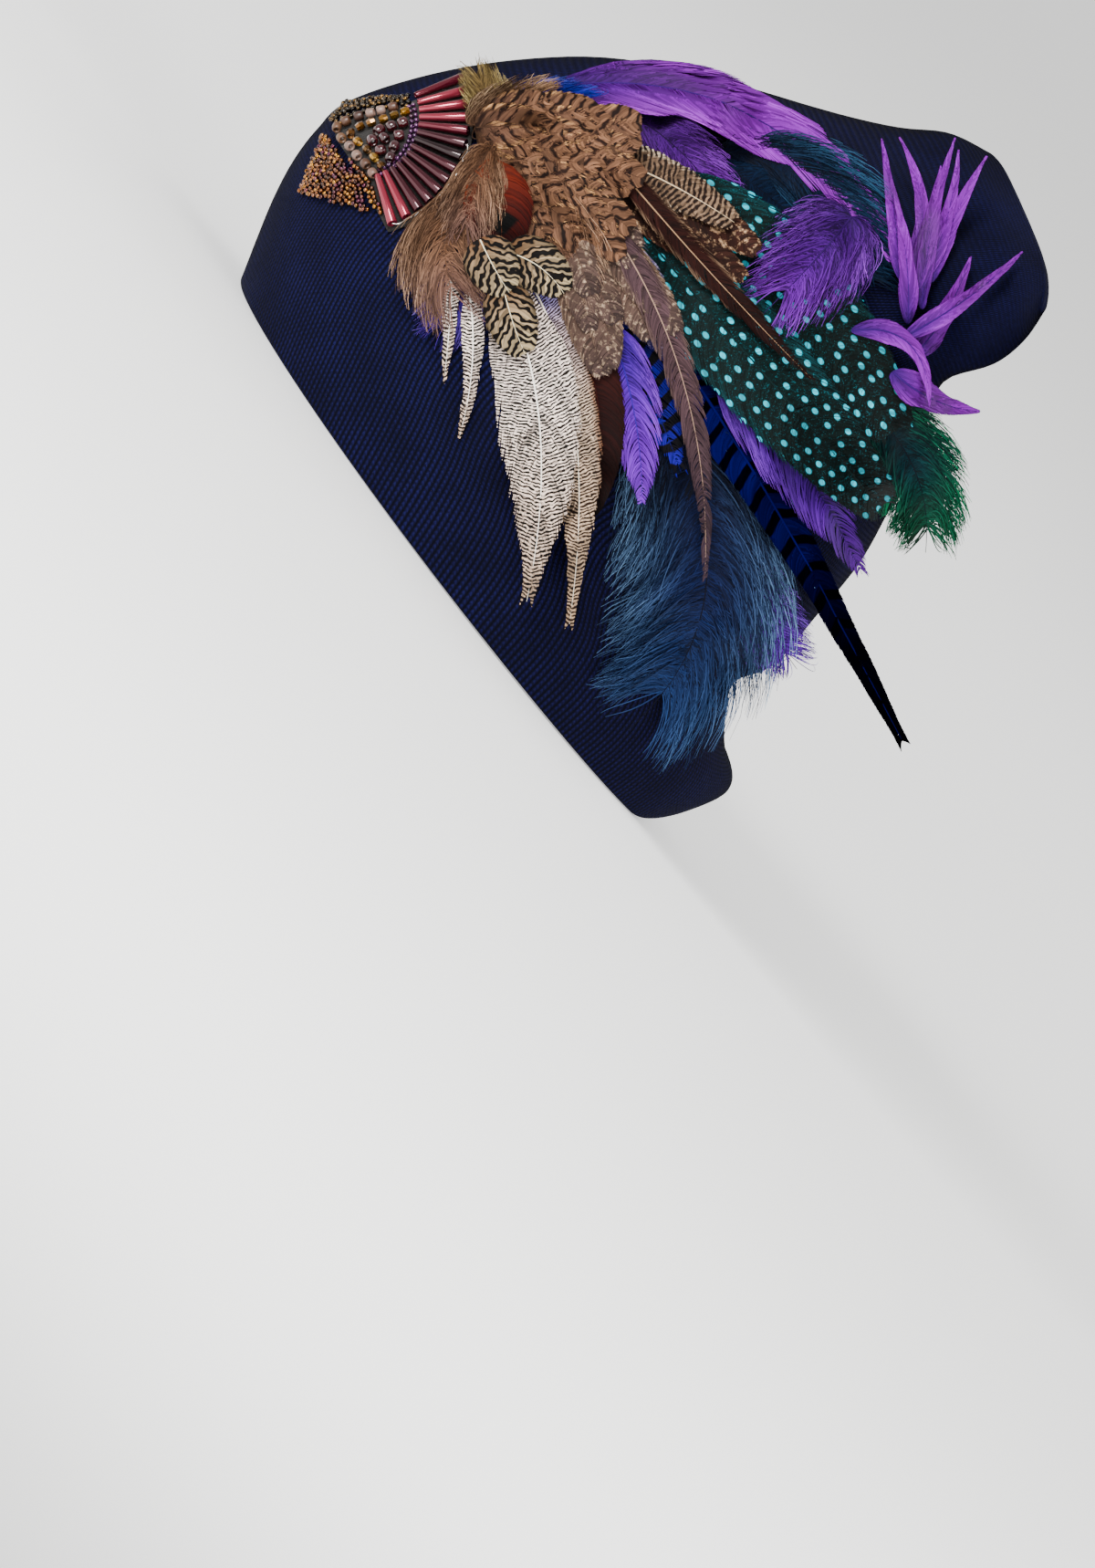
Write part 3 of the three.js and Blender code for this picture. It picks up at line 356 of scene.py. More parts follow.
# What each form does along its quill: wide(t) is the share of full width at t, lead how far a barb runs towards the
# tip for each unit that it reaches out, pitch and barb the barbs' spacing and width in millimetres, lock the length
# of vane whose barbs gather, layers how many sheets of barbs lie over each other, clump how far barbs gather into
# points, ragged how uneven their ends are, wave how much each bends on its own, shaft the quill's width, point how
# far a gathered lock runs out past the vane, loose how unevenly the barbs lean, web the share of the width that is
# hooked together and least the least share of the width, at the tip.
formKeys = ("wide", "lead", "pitch", "lock", "barb", "layers", "clump", "ragged", "wave", "shaft", "point", "loose",
            "web", "least")
formRows = {
    "contour": (lambda t: 0.25 + 0.75 * np.sin(np.pi * t**0.8) ** 0.6,
                1.2, 0.5, 26, 0.8, 1, 0.06, 0.12, 0.1, 0.8, 0.02, 0.03, 0.93, 0.16),
    "flank": (lambda t: (0.62 + 0.38 * smoothStep(0, 0.35, t)) * (1 - 0.86 * smoothStep(0.5, 1.02, t)),
              2.2, 0.42, 14, 0.7, 1, 0.14, 0.2, 0.2, 0.7, 0.06, 0.05, 0.88, 0.16),
    "hackle": (lambda t: 0.12 + 0.88 * np.sin(np.pi * t**0.75),
               2.0, 0.36, 10, 0.45, 1, 0.22, 0.25, 0.4, 0.6, 0.08, 0.08, 0.5, 0.16),
    "tail": (lambda t: 0.12 + 0.88 * (1 - t) ** 0.9 * smoothStep(-0.25, 0.2, t),
             1.5, 0.5, 40, 0.75, 1, 0.05, 0.05, 0.1, 1.2, 0.02, 0.03, 0.93, 0.16),
    "plume": (lambda t: 0.2 + 0.8 * np.sin(np.pi * (0.12 + 0.78 * t)) ** 0.7,
              1.1, 0.5, 5, 0.34, 5, 0.5, 0.35, 2.4, 0.8, 0.15, 0.15, 0.6, 0.16),
    "lush": (lambda t: 0.25 + 0.75 * np.sin(np.pi * (0.12 + 0.78 * t)) ** 0.7,
             1.0, 0.36, 6, 0.45, 5, 0.6, 0.22, 1.8, 0.8, 0.15, 0.12, 0.68, 0.16),
    "spray": (lambda t: 0.12 + 0.88 * np.sin(np.pi * (0.02 + 0.8 * t)) ** 1.3,
              1.3, 0.4, 5, 0.34, 5, 0.5, 0.35, 2.4, 0.5, 0.15, 0.2, 0, 0.16),
    "tuft": (lambda t: 0.35 + 0.65 * np.sin(np.pi * (0.2 + 0.7 * t)),
             1.8, 0.32, 4, 0.28, 5, 0.4, 0.4, 2.0, 0.4, 0.2, 0.15, 0.4, 0.16),
    "satin": (lambda t: 0.15 + 0.85 * np.sin(np.pi * t**0.8) ** 0.7,
              4.2, 0.34, 22, 0.6, 1, 0.35, 0.08, 0.3, 0.7, 0.3, 0.06, 0.93, 0.16),
    "spike": (lambda t: (0.35 + 0.65 * smoothStep(0, 0.3, t)) * (1 - t) ** 0.75,
              6.0, 0.34, 30, 0.6, 1, 0.2, 0.05, 0.2, 0.7, 0.1, 0.04, 0.93, 0.04),
    "slim": (lambda t: (0.4 + 0.6 * smoothStep(0, 0.25, t)) * (1 - t) ** 0.55,
             1.6, 0.36, 12, 0.6, 1, 0.15, 0.2, 0.2, 0.6, 0.1, 0.06, 0.8, 0.04),
    "heart": (lambda t: 0.2 + 0.8 * np.sin(np.pi * t**1.1) ** 0.6,
              0.9, 0.4, 40, 0.7, 1, 0.03, 0.04, 0.1, 0.5, 0.0, 0.03, 0.93, 0.16),
}
forms = {name: dict(zip(formKeys, row)) for name, row in formRows.items()}

# Where one solid stands for several small feathers: how many, their length and width in millimetres, how far they
# fan out in degrees and how far each stands up over the next at its tip.
bunches = {
    "pheasant_body_barred": {"count": 46, "length": 17, "width": 13, "fan": 34, "tipUp": 0.9, "spread": 0.85},
    "pheasant_speckled_mid": {"count": 10, "length": 34, "width": 13, "fan": 22, "tipUp": 1.2, "spread": 0.62},
    "partridge_barred": {"count": 3, "length": 21, "width": 16, "fan": 34, "tipUp": 0.8, "spread": 0.5},
    "goose_purple_spikes": {"count": 7, "length": 46, "width": 7.5, "fan": 26, "tipUp": 2.5, "spread": 0.72},
    "pheasant_brown_dark": {"count": 3, "length": 38, "width": 12, "fan": 16, "tipUp": 0.8, "spread": 0.5},
}
vane = {
    "barbSteps": 5,
    "strandSteps": 7,  # of soft barbs
    "shingle": 0.12,  # how far a barb's one edge stands over the next barb
    "overSolid": 0.1,
    "faceCell": 1.6,
    "faceMargin": 6,
    "fanClear": 30.5,  # no barb comes nearer to the fan's middle
    "webRows": 40,
    "webColumns": 9,
    "webOver": 0.04,
    "openWeb": 0.7,  # a web narrower than this ends before the tip
    "shaftSides": 6,  # two quads close each end
    "shaftRings": 30,
    "mapUnit": 100,  # one unit of the vane's map
}


class Quill:
    # start, via and end in board millimetres. raised is how far it stands over its face at root and tip, and thick
    # how its quill compares with its form's.
    def __init__(self, start, via, end, raised=(0, 0), thick=1.0):
        self.a, via, self.c = np.array(start), np.array(via), np.array(end)
        self.b = 2 * via - (self.a + self.c) / 2
        self.raised, self.thick = raised, thick
        self.mapAt = dice.uniform(0, 400, 2)
        self.length = np.linalg.norm(np.diff(self.at(np.linspace(0, 1, 40)), axis=0), axis=1).sum()

    def lift(self, t):
        return self.raised[0] + (self.raised[1] - self.raised[0]) * np.clip(t, 0, 1)

    # past either end the quill goes straight on
    def at(self, t):
        t = np.asarray(t, float)
        kept = np.clip(t, 0, 1)[..., None]
        point = (1 - kept) ** 2 * self.a + 2 * kept * (1 - kept) * self.b + kept**2 * self.c
        return point + self.slope(t) * (t[..., None] - kept)

    def slope(self, t):
        t = np.clip(t, 0, 1)[..., None]
        return 2 * (1 - t) * (self.b - self.a) + 2 * t * (self.c - self.b)

    # board place of a point t along the quill and aside to its left
    def place(self, t, aside):
        ahead = self.slope(t)
        ahead = ahead / np.linalg.norm(ahead, axis=-1)[..., None]
        side = np.stack([-ahead[..., 1], ahead[..., 0]], -1)
        return self.at(t) + side * np.asarray(aside)[..., None]


def halfWidth(form, wide, t):
    return wide * board["span"] / 2 * np.maximum(form["wide"](np.clip(t, 0, 1)), form["least"])


# How far out a solid's face lies, on a grid of board places, drawn on smoothly where the solid ends.
class Face:
    def __init__(self, name):
        surface = surfaceOf(name)
        corners = cornersOf(name) * perMetre
        across = corners @ alongRim - board["fanAcross"]
        above = corners @ aboveRim - board["fanAbove"]
        x = across * math.cos(boardRoll) + above * math.sin(boardRoll)
        y = above * math.cos(boardRoll) - across * math.sin(boardRoll)
        self.low = np.array([x.min(), y.min()]) - vane["faceMargin"]
        high = np.array([x.max(), y.max()]) + vane["faceMargin"]
        self.count = np.ceil((high - self.low) / vane["faceCell"]).astype(int) + 1
        grid = np.full(self.count, np.nan)
        for i in range(self.count[0]):
            for j in range(self.count[1]):
                spot, _ = meet(surface, self.low[0] + i * vane["faceCell"], self.low[1] + j * vane["faceCell"])
                if spot is not None:
                    grid[i, j] = np.dot(np.array(spot), boardOut) * perMetre
        while np.isnan(grid).any():
            padded = np.pad(grid, 1, constant_values=np.nan)
            around = np.stack([padded[1 + a:padded.shape[0] - 1 + a, 1 + b:padded.shape[1] - 1 + b]
                               for a in (-1, 0, 1) for b in (-1, 0, 1)])
            known = ~np.isnan(around)
            total = np.where(known, around, 0).sum(0)
            filled = np.where(known.any(0), total / np.maximum(known.sum(0), 1), np.nan)
            grid = np.where(np.isnan(grid), filled, grid)
        for _ in range(2):
            padded = np.pad(grid, 1, mode="edge")
            grid = (padded[:-2, 1:-1] + padded[2:, 1:-1] + padded[1:-1, :-2] + padded[1:-1, 2:] + 4 * grid) / 8
        self.grid = grid

    def at(self, spot):
        place = (spot - self.low) / vane["faceCell"]
        i, j = (np.clip(place[..., k], 0, self.count[k] - 1.001) for k in (0, 1))
        i0, j0 = i.astype(int), j.astype(int)
        u, v = i - i0, j - j0
        g = self.grid
        return ((1 - u) * ((1 - v) * g[i0, j0] + v * g[i0, j0 + 1])
                + u * ((1 - v) * g[i0 + 1, j0] + v * g[i0 + 1, j0 + 1]))


# Adds points to a feather: places, along, across, tone and shaft for its colours, and where they lie on its map.
def addPoints(made, quill, wide, spot, out, t, aside, tone, shaft=0):
    marks = [n + 0 * out for n in (t, aside / (wide * board["span"] / 2), tone, shaft)]
    made["points"].append(fromBoard(spot[..., 0], spot[..., 1], out).reshape(-1, 3))
    made["marks"].append(np.stack(marks, -1).reshape(-1, 4))
    made["lie"].append(np.stack([t * quill.length + 0 * out, aside + 0 * out], -1).reshape(-1, 2) + quill.mapAt)


# All barbs of a feather, as ribbons.
def growBarbs(form, quill, wide, face, rise, made):
    soft = form["layers"] > 1
    steps = vane["strandSteps"] if soft else vane["barbSteps"]
    rowCount = max(12, int(quill.length / form["pitch"]))
    u = np.linspace(0, 1, steps + 1)[None, :]
    for layer in range(form["layers"]):
        for side in (1, -1):
            tipAt = np.linspace(0.03, 1.0, rowCount) + dice.normal(0, 0.25 / rowCount, rowCount)
            tipAt = np.clip(tipAt, 0.02, 1.0)
            half = halfWidth(form, wide, tipAt)
            # barbs gather in locks, each lock towards a point of its own
            lockCount = max(2, int(quill.length / form["lock"] * dice.uniform(0.8, 1.2)))
            edges = np.sort(np.concatenate([[0], dice.uniform(0, 1, lockCount), [1.001]]))
            lock = np.clip(np.searchsorted(edges, tipAt) - 1, 0, lockCount)
            middles = (edges[:-1] + edges[1:]) / 2
            spans = np.maximum(np.diff(edges), 1e-3)
            off = (tipAt - middles[lock]) / spans[lock]  # -0.5 to 0.5 over the lock
            lockTone = dice.uniform(-1, 1, lockCount + 1)[lock]
            lead = form["lead"] * half / quill.length * (1 + form["loose"] * dice.uniform(-1, 1, rowCount))
            reach = half * (1 - form["ragged"] * dice.uniform(0, 1, rowCount) ** 1.5)
            reach = reach * (1 + form["point"] * (1 - 4 * off**2) - form["point"] * 0.4)
            if layer:
                reach = reach * dice.uniform(0.55, 1.05, rowCount)
            root = np.clip(tipAt - lead, 0.0, 0.985) + dice.uniform(0, 0.3, rowCount) / rowCount
            gather = form["clump"] * (middles[lock] - tipAt)
            wave = dice.normal(0, form["wave"], rowCount) / quill.length
            along = (root[:, None] + (tipAt - root)[:, None] * u**1.35 + gather[:, None] * u**1.6
                     + wave[:, None] * np.sin(np.pi * u * 0.9))
            aside = reach[:, None] * (1 - (1 - u) ** 1.45)
            if soft:
                aside = aside + dice.normal(0, 0.6, rowCount)[:, None] * np.sin(np.pi * u)
            # none lies over the beadwork
            clear = np.linalg.norm(quill.place(along, side * aside), axis=-1).min(axis=1) > vane["fanClear"]
            along, aside, lockTone, reach = along[clear], aside[clear], lockTone[clear], reach[clear]
            kept = len(along)
            if not kept:
                continue
            taper = 0.75 * u**2 if soft else 0.8 * u**3
            width = form["barb"] * dice.uniform(0.6, 1.15, kept)[:, None] * (1 - taper)
            ahead = np.gradient(along, axis=1) * quill.length
            out = np.gradient(aside, axis=1)
            size = np.hypot(ahead, out) + 1e-9
            lift = vane["overSolid"] + dice.uniform(0, 0.1, kept)[:, None] + 0 * u
            if soft:
                high = (0.35 + 0.65 * layer / form["layers"]) * dice.uniform(0, 1, kept) ** 1.3
            else:
                high = 0.25 + 0.25 * lockTone
            lift = lift + rise * high[:, None] * u**1.4
            spread = (0.5, 0.22) if soft else (0.28, 0.16)
            tone = (0.5 + spread[0] * dice.uniform(-1, 1, kept) + spread[1] * lockTone)[:, None] + 0 * u
            for edge in (-1, 1):
                t = along + edge * width / 2 * (out / size) / quill.length
                a = aside - edge * width / 2 * (ahead / size)
                spot = quill.place(t, side * a)
                tilt = vane["shingle"] * (0.5 - 0.5 * edge)
                height = face.at(spot) + lift + tilt + quill.lift(t)
                addPoints(made, quill, wide, spot, height, t, side * a, tone)
            count = steps + 1
            first = (np.arange(kept)[:, None] * count + np.arange(steps)[None, :]).ravel() + made["count"]
            other = first + kept * count
            quads = np.stack([first, first + 1, other + 1, other], -1)
            made["faces"].append(quads if side > 0 else quads[:, ::-1])
            made["count"] += 2 * kept * count


# The web of a vane, where barbs hook into each other: a plain sheet close under them, so no gap shows through. It is
# painted darker than the barbs as shade under them, darkest under an open vane.
def growWeb(form, quill, wide, face, made):
    rows, columns = vane["webRows"], vane["webColumns"]
    t = np.linspace(0.02, 0.97, rows)[:, None]
    share = np.linspace(-1, 1, columns)[None, :]
    half = halfWidth(form, wide, t) * form["web"]
    if form["web"] < vane["openWeb"]:
        t = t * 0.85
        half = half * np.sqrt(1 - (t / 0.87) ** 2)
    lead = np.minimum(np.minimum(form["lead"] * half, (0.97 - t) * quill.length) / quill.length, t)
    along = t + lead * (np.abs(share) - 1) * smoothStep(0, 0.25, t)
    spot = quill.place(along, share * half)
    height = face.at(spot) + vane["webOver"] + quill.lift(along)
    # the web's low tone is painted shade: 0.3 under a closed vane and 0 under an open one, where it stands for the
    # shade between loose barbs
    addPoints(made, quill, wide, spot, height, along, share * half, 0.3 if form["web"] > 0.9 else 0.0)
    j, i = (n.ravel() for n in np.meshgrid(np.arange(rows - 1), np.arange(columns - 1), indexing="ij"))
    a = made["count"] + j * columns + i
    made["faces"].append(np.stack([a, a + columns, a + columns + 1, a + 1], -1)[:, ::-1])
    made["count"] += rows * columns


# The bare quill down the middle of a feather, a thin tube that tapers to the tip.
def growShaft(form, quill, wide, face, made):
    sides, rings = vane["shaftSides"], vane["shaftRings"]
    t = np.linspace(0, 0.98, rings)
    radius = form["shaft"] * quill.thick / 2 * (1 - 0.8 * t)
    middle = face.at(quill.at(t)) + vane["overSolid"] + 0.3 * radius + quill.lift(t)
    around = np.linspace(0, 2 * np.pi, sides, endpoint=False)
    aside = radius[:, None] * np.cos(around)[None, :]
    height = middle[:, None] + radius[:, None] * np.sin(around)[None, :]
    t = t[:, None] + 0 * aside
    addPoints(made, quill, wide, quill.place(t, aside), height, t, aside, 0.5, 1)
    ring, corner = (n.ravel() for n in np.meshgrid(np.arange(rings - 1), np.arange(sides), indexing="ij"))
    a = made["count"] + ring * sides + corner
    b = made["count"] + ring * sides + (corner + 1) % sides
    made["faces"].append(np.stack([a, b, b + sides, a + sides], -1)[:, ::-1])
    for end, order in ((0, 1), (rings - 1, -1)):
        c = made["count"] + end * sides
        made["faces"].append(np.array([[c, c + 1, c + 2, c + 3], [c, c + 3, c + 4, c + 5]])[:, ::order])
    made["count"] += rings * sides


# Each finish of a feather: dyed or natural keratin, matt with a faint sheen along the barbs. stops are its colours
# from root to tip, tip is the barbs' ends, edge its rim and shaft its quill. mark is drawn in ink, and spacing is
# the millimetres from one mark to the next.
featherLooks = {
    "violet ostrich": dict(slot="feather_purple", tip="#9468d0",
        stops=[(0, "#200640"), (0.4, "#480c80"), (1, "#6420a0")]),
    "navy ostrich": dict(slot="feather_navy", tip="#7492b0",
        stops=[(0, "#080c22"), (0.5, "#182650"), (1, "#2a446e")]),
    "green ostrich": dict(slot="feather_green", tip="#0a8458",
        stops=[(0, "#021a26"), (0.5, "#02343c"), (1, "#03583a")]),
    "navy teal ostrich": dict(slot="feather_navy", tip="#446c88",
        stops=[(0, "#081228"), (0.5, "#0e2038"), (1, "#162e48")]),
    "blue pheasant tail": dict(slot="feather_blue", mark="chevrons", spacing=8.5, ink="#030310", gloss=0.0,
        stops=[(0, "#0e0354"), (0.55, "#0a0348"), (0.8, "#060314"), (1, "#06060a")]),
    "bright violet hackle": dict(slot="feather_purple", tip="#8c4cc4",
        stops=[(0, "#280458"), (0.6, "#4c0680"), (1, "#62148e")]),
    "vivid violet hackle": dict(slot="feather_purple", tip="#a060d8",
        stops=[(0, "#3c0890"), (0.6, "#6a10a8"), (1, "#7c28b8")]),
    "deep violet marabou": dict(slot="feather_purple", tip="#8c48b4",
        stops=[(0, "#200434"), (0.6, "#480c68"), (1, "#682088")]),
    "dotted guinea": dict(slot="feather_guinea", mark="dots", spacing=4.2, ink="#2bb4c4", edge="#0c3c40",
        stops=[(0, "#062828"), (0.5, "#08201e"), (1, "#061614")]),
    "barred violet hackle": dict(slot="feather_blue", mark="bars", spacing=5.5, ink="#040210",
        stops=[(0, "#16046c"), (1, "#260a84")]),
    "purple goose": dict(slot="feather_magenta", tip="#a83cc8",
        stops=[(0, "#3e0668"), (0.5, "#780c96"), (1, "#9020b0")]),
    "bright purple marabou": dict(slot="feather_purple", tip="#9850c4",
        stops=[(0, "#340454"), (0.5, "#54087c"), (1, "#701c98")]),
    "mahogany pheasant": dict(slot="feather_mahogany", stops=[(0, "#3c120a"), (0.6, "#2c0c08"), (1, "#160605")]),
    "tan mallard": dict(slot="feather_mallard", mark="vermiculation", spacing=0.95, ink="#302018", edge="#7a5640",
        shaft="#efe6d8", stops=[(0, "#7c78c8"), (0.15, "#b8a6ac"), (0.4, "#cdb8a4"), (1, "#b49a80")]),
    "violet fluff": dict(slot="feather_purple", tip="#a08cd0",
        stops=[(0, "#4a2e4c"), (0.5, "#3a1c7c"), (1, "#5a34a0")]),
    "dark speckled pheasant": dict(slot="feather_mahogany", mark="speckle", spacing=3.0, ink="#a88c70",
        edge="#4c3428", stops=[(0, "#2c1a14"), (1, "#3a2018")]),
    "cream mallard": dict(slot="feather_mallard", mark="vermiculation", spacing=1.05, ink="#1e1410", shaft="#fbf6ee",
        stops=[(0, "#d0beb6"), (0.35, "#f2e4da"), (0.8, "#e0caba"), (1, "#c4a88e")]),
    "speckled buff": dict(slot="feather_buff", mark="vermiculation", spacing=1.6, ink="#2a1c16", edge="#cfc0a8",
        shaft="#c8b498", stops=[(0, "#6c5644"), (1, "#8a7460")]),
    "grey violet hackle": dict(slot="feather_grey_violet", mark="speckle", spacing=1.8, ink="#a89cb4",
        stops=[(0, "#4a4260"), (0.6, "#645c78"), (1, "#4c4266")]),
    "blue fluff": dict(slot="feather_blue", tip="#7880d0", stops=[(0, "#14186c"), (0.6, "#2028a0"), (1, "#343cb8")]),
    "olive fluff": dict(slot="feather_olive", tip="#b0a070",
        stops=[(0, "#3c3020"), (0.6, "#6c5a3a"), (1, "#88764c")]),
    "white edged mahogany": dict(slot="feather_mahogany", edge="#74604f", shaft="#a08468",
        stops=[(0, "#34160f"), (0.6, "#2e120c"), (1, "#200a08")]),
    "speckled brown": dict(slot="feather_brown", mark="speckle", spacing=1.7, ink="#a08c78", edge="#7c6858",
        stops=[(0, "#5e4a40"), (0.6, "#5e4c44"), (1, "#4a3c3a")]),
    "brown hackle": dict(slot="feather_brown", edge="#74605a", shaft="#9c8474",
        stops=[(0, "#524044"), (0.5, "#584448"), (1, "#42343c")]),
    "brown fluff": dict(slot="feather_brown", tip="#bca48a",
        stops=[(0, "#503a2c"), (0.5, "#7c5e48"), (1, "#94765c")]),
    "brown marabou": dict(slot="feather_brown", tip="#b49880",
        stops=[(0, "#5c4230"), (0.5, "#6e5240"), (1, "#6c5450")]),
    "barred pheasant": dict(slot="feather_brown", mark="scales", spacing=4.6, ink="#2a1810", edge="#b08a62",
        stops=[(0, "#4a3628"), (0.4, "#6c5040"), (1, "#80604a")]),
    "rust heart": dict(slot="feather_rust", mark="blot", spacing=8, ink="#030202",
        stops=[(0, "#643822"), (0.3, "#5e200b"), (0.7, "#400e06"), (1, "#280604")]),
    "barred partridge": dict(slot="feather_buff", mark="zebra", spacing=3.0, ink="#140c08", edge="#4c4232",
        shaft="#e0d6ba", stops=[(0, "#6a4c34"), (0.4, "#98846a"), (1, "#b0a080")]),
}


def featherMaterial(name, look):
    sockets = {"Roughness": 0.72, "Specular IOR Level": look.get("gloss", 0.1)}
    material, tree, shader = newMaterial(name + " feather, keratin barbs", sockets)
    marks = put(tree, "SeparateXYZ", {0: put(tree, "Attribute", {}, attribute_name="barb").outputs["Vector"]})
    along, tone = marks.outputs[0], marks.outputs[2]
    across = put(tree, "Math", {0: marks.outputs[1]}, operation="ABSOLUTE")
    shaft = put(tree, "Attribute", {}, attribute_name="shaft").outputs["Fac"]
    # each layer of colour: how much of it, the colour and how it is laid on
    layers = []
    if "tip" in look:
        outward = put(tree, "Math", {0: across, 1: 2.0}, operation="POWER")
        layers.append((put(tree, "Math", {0: outward, 1: tone}, operation="MULTIPLY"), toLinear(look["tip"]), "MIX"))
    if "edge" in look:
        uneven = put(tree, "Math", {0: tone, 1: 0.35, 2: -0.175}, operation="MULTIPLY_ADD")
        frayed = put(tree, "Math", {0: across, 1: uneven}, operation="ADD")
        layers.append((put(tree, "MapRange", {0: frayed, 1: 0.7, 2: 1.0}), toLinear(look["edge"]), "MIX"))
    if "mark" in look:
        layers.append((markMask(tree, look, across, along, tone), toLinear(look["ink"]), "MIX"))
    # tone darkens or lightens the colour: at random from barb to barb and lock to lock, and low on the web as painted
    # shade
    shade = put(tree, "MapRange", {0: tone, 1: 0.0, 2: 1.0, 3: 0.35, 4: 1.45})
    layers.append((1.0, put(tree, "CombineXYZ", {0: shade, 1: shade, 2: shade}), "MULTIPLY"))
    layers.append((shaft, toLinear(look.get("shaft", look["stops"][0][1])), "MIX"))
    colour = put(tree, "ValToRGB", {0: along}, look["stops"])
    for much, layer, blend in layers:
        colour = put(tree, "Mix", {0: much, 6: colour, 7: layer}, data_type="RGBA", blend_type=blend).outputs[2]
    # light is caught between the barbs, so the keratin's own colour is deeper than what is seen
    deep = put(tree, "Gamma", {0: colour, 1: 1.25})
    tree.links.new(deep.outputs[0], shader.inputs["Base Color"])
    return material


# Markings in bars: how far they lean to the tip, how far they wander (in the map's units), in patches how wide,
# and from where to where in its step a bar fades.
barMarks = {
    "chevrons": (-0.55, 0.02, 18, (0.2, 0.15)),
    "bars": (0.3, 0.02, 20, (0.26, 0.2)),
    "zebra": (-0.7, 0.06, 34, (0.3, 0.22)),
    "vermiculation": (0.35, 0.018, 40, (0.34, 0.22)),
    "scales": (-0.4, 0.05, 26, (0.24, 0.1)),
}


# Masks of the natural markings. The vane's map is in units of 100 mm, so a scale of 100 / mm gives that spacing.
def markMask(tree, look, across, along, tone):
    lie = put(tree, "UVMap", {}, uv_map="vane")
    each = vane["mapUnit"] / look["spacing"]
    kind = look["mark"]
    if kind == "dots":
        # round pearls in slanting rows, with fine flecks between them
        longer = put(tree, "Mapping", {"Vector": lie, "Scale": (0.68, 1.0, 1.0)})
        pearls = put(tree, "TexVoronoi", {"Vector": longer, "Scale": each, "Randomness": 0.4},
                     voronoi_dimensions="2D")
        pearls = put(tree, "MapRange", {0: pearls, 1: 0.22, 2: 0.16})
        flecks = put(tree, "TexNoise", {"Vector": lie, "Scale": 120, "Detail": 2, "Distortion": 2})
        flecks = put(tree, "MapRange", {0: flecks, 1: 0.6, 2: 0.68, 3: 0.0, 4: 0.22})
        return put(tree, "Math", {0: pearls, 1: flecks}, operation="MAXIMUM")
    if kind == "speckle":
        fine = put(tree, "TexNoise", {"Vector": lie, "Scale": each, "Detail": 3, "Roughness": 0.7})
        fine = put(tree, "Math", {0: tone, 1: 0.1, 2: fine}, operation="MULTIPLY_ADD")
        return put(tree, "MapRange", {0: fine, 1: 0.58, 2: 0.72})
    if kind == "blot":
        spotAlong = put(tree, "Math", {0: along, 1: 0.72}, operation="SUBTRACT")
        spotAlong = put(tree, "Math", {0: spotAlong}, operation="ABSOLUTE")
        spot = put(tree, "Math", {0: across, 1: 1.8}, operation="MULTIPLY")
        spot = put(tree, "Math", {0: spotAlong, 1: 6.0, 2: spot}, operation="MULTIPLY_ADD")
        return put(tree, "MapRange", {0: spot, 1: 1.0, 2: 0.75})
    slope, wander, patch, (fadeFrom, fadeTo) = barMarks[kind]
    drift = put(tree, "TexNoise", {"Vector": lie, "Scale": patch, "Detail": 1})
    out = put(tree, "Attribute", {}, attribute_name="aside").outputs["Fac"]
    place = put(tree, "SeparateXYZ", {0: lie})
    place = put(tree, "Math", {0: out, 1: slope, 2: place}, operation="MULTIPLY_ADD")
    place = put(tree, "Math", {0: drift, 1: wander, 2: place}, operation="MULTIPLY_ADD")
    middle = offMiddle(tree, put(tree, "Math", {0: place, 1: each}, operation="MULTIPLY"))
    bars = put(tree, "MapRange", {0: middle, 1: fadeFrom, 2: fadeTo})
    if kind in ("vermiculation", "scales"):
        broken = put(tree, "TexNoise", {"Vector": lie, "Scale": each * 0.8, "Detail": 1})
        broken = put(tree, "MapRange", {0: broken, 1: 0.3, 2: 0.46, 3: 0.25})
        bars = put(tree, "Math", {0: bars, 1: broken}, operation="MULTIPLY")
    return bars


def smallQuills(bunch, whole, form, wide):
    quills = []
    for k in range(bunch["count"]):
        # the outermost first, so that those near the root lie over them, in rows from side to side
        t = 0.86 * (1 - (k + 0.5) / bunch["count"]) * max(0.0, 1 - bunch["length"] * 0.5 / whole.length)
        t = min(t, max(0.0, 1.04 - bunch["length"] / whole.length))
        share = bunch["spread"] * ((k * 0.618) % 1 * 2 - 1)
        aside = share * halfWidth(form, wide, t)
        start, ahead = whole.place(t, aside), whole.slope(np.array(t))
        bearing = math.atan2(ahead[1], ahead[0]) + math.radians(share * bunch["fan"] + dice.normal(0, 5))
        length = bunch["length"] * dice.uniform(0.85, 1.15)
        end = start + length * np.array([math.cos(bearing), math.sin(bearing)])
        bend = dice.normal(0, 0.05) * length
        via = (start + end) / 2 + bend * np.array([-math.sin(bearing), math.cos(bearing)])
        low = 0.15 + 0.5 * k / bunch["count"]
        quills.append((Quill(start, via, end, (low, low + bunch["tipUp"] * (0.5 + 0.5 * k / bunch["count"])), 0.6),
                       bunch["width"] * dice.uniform(0.85, 1.1) / board["span"]))
    return quills


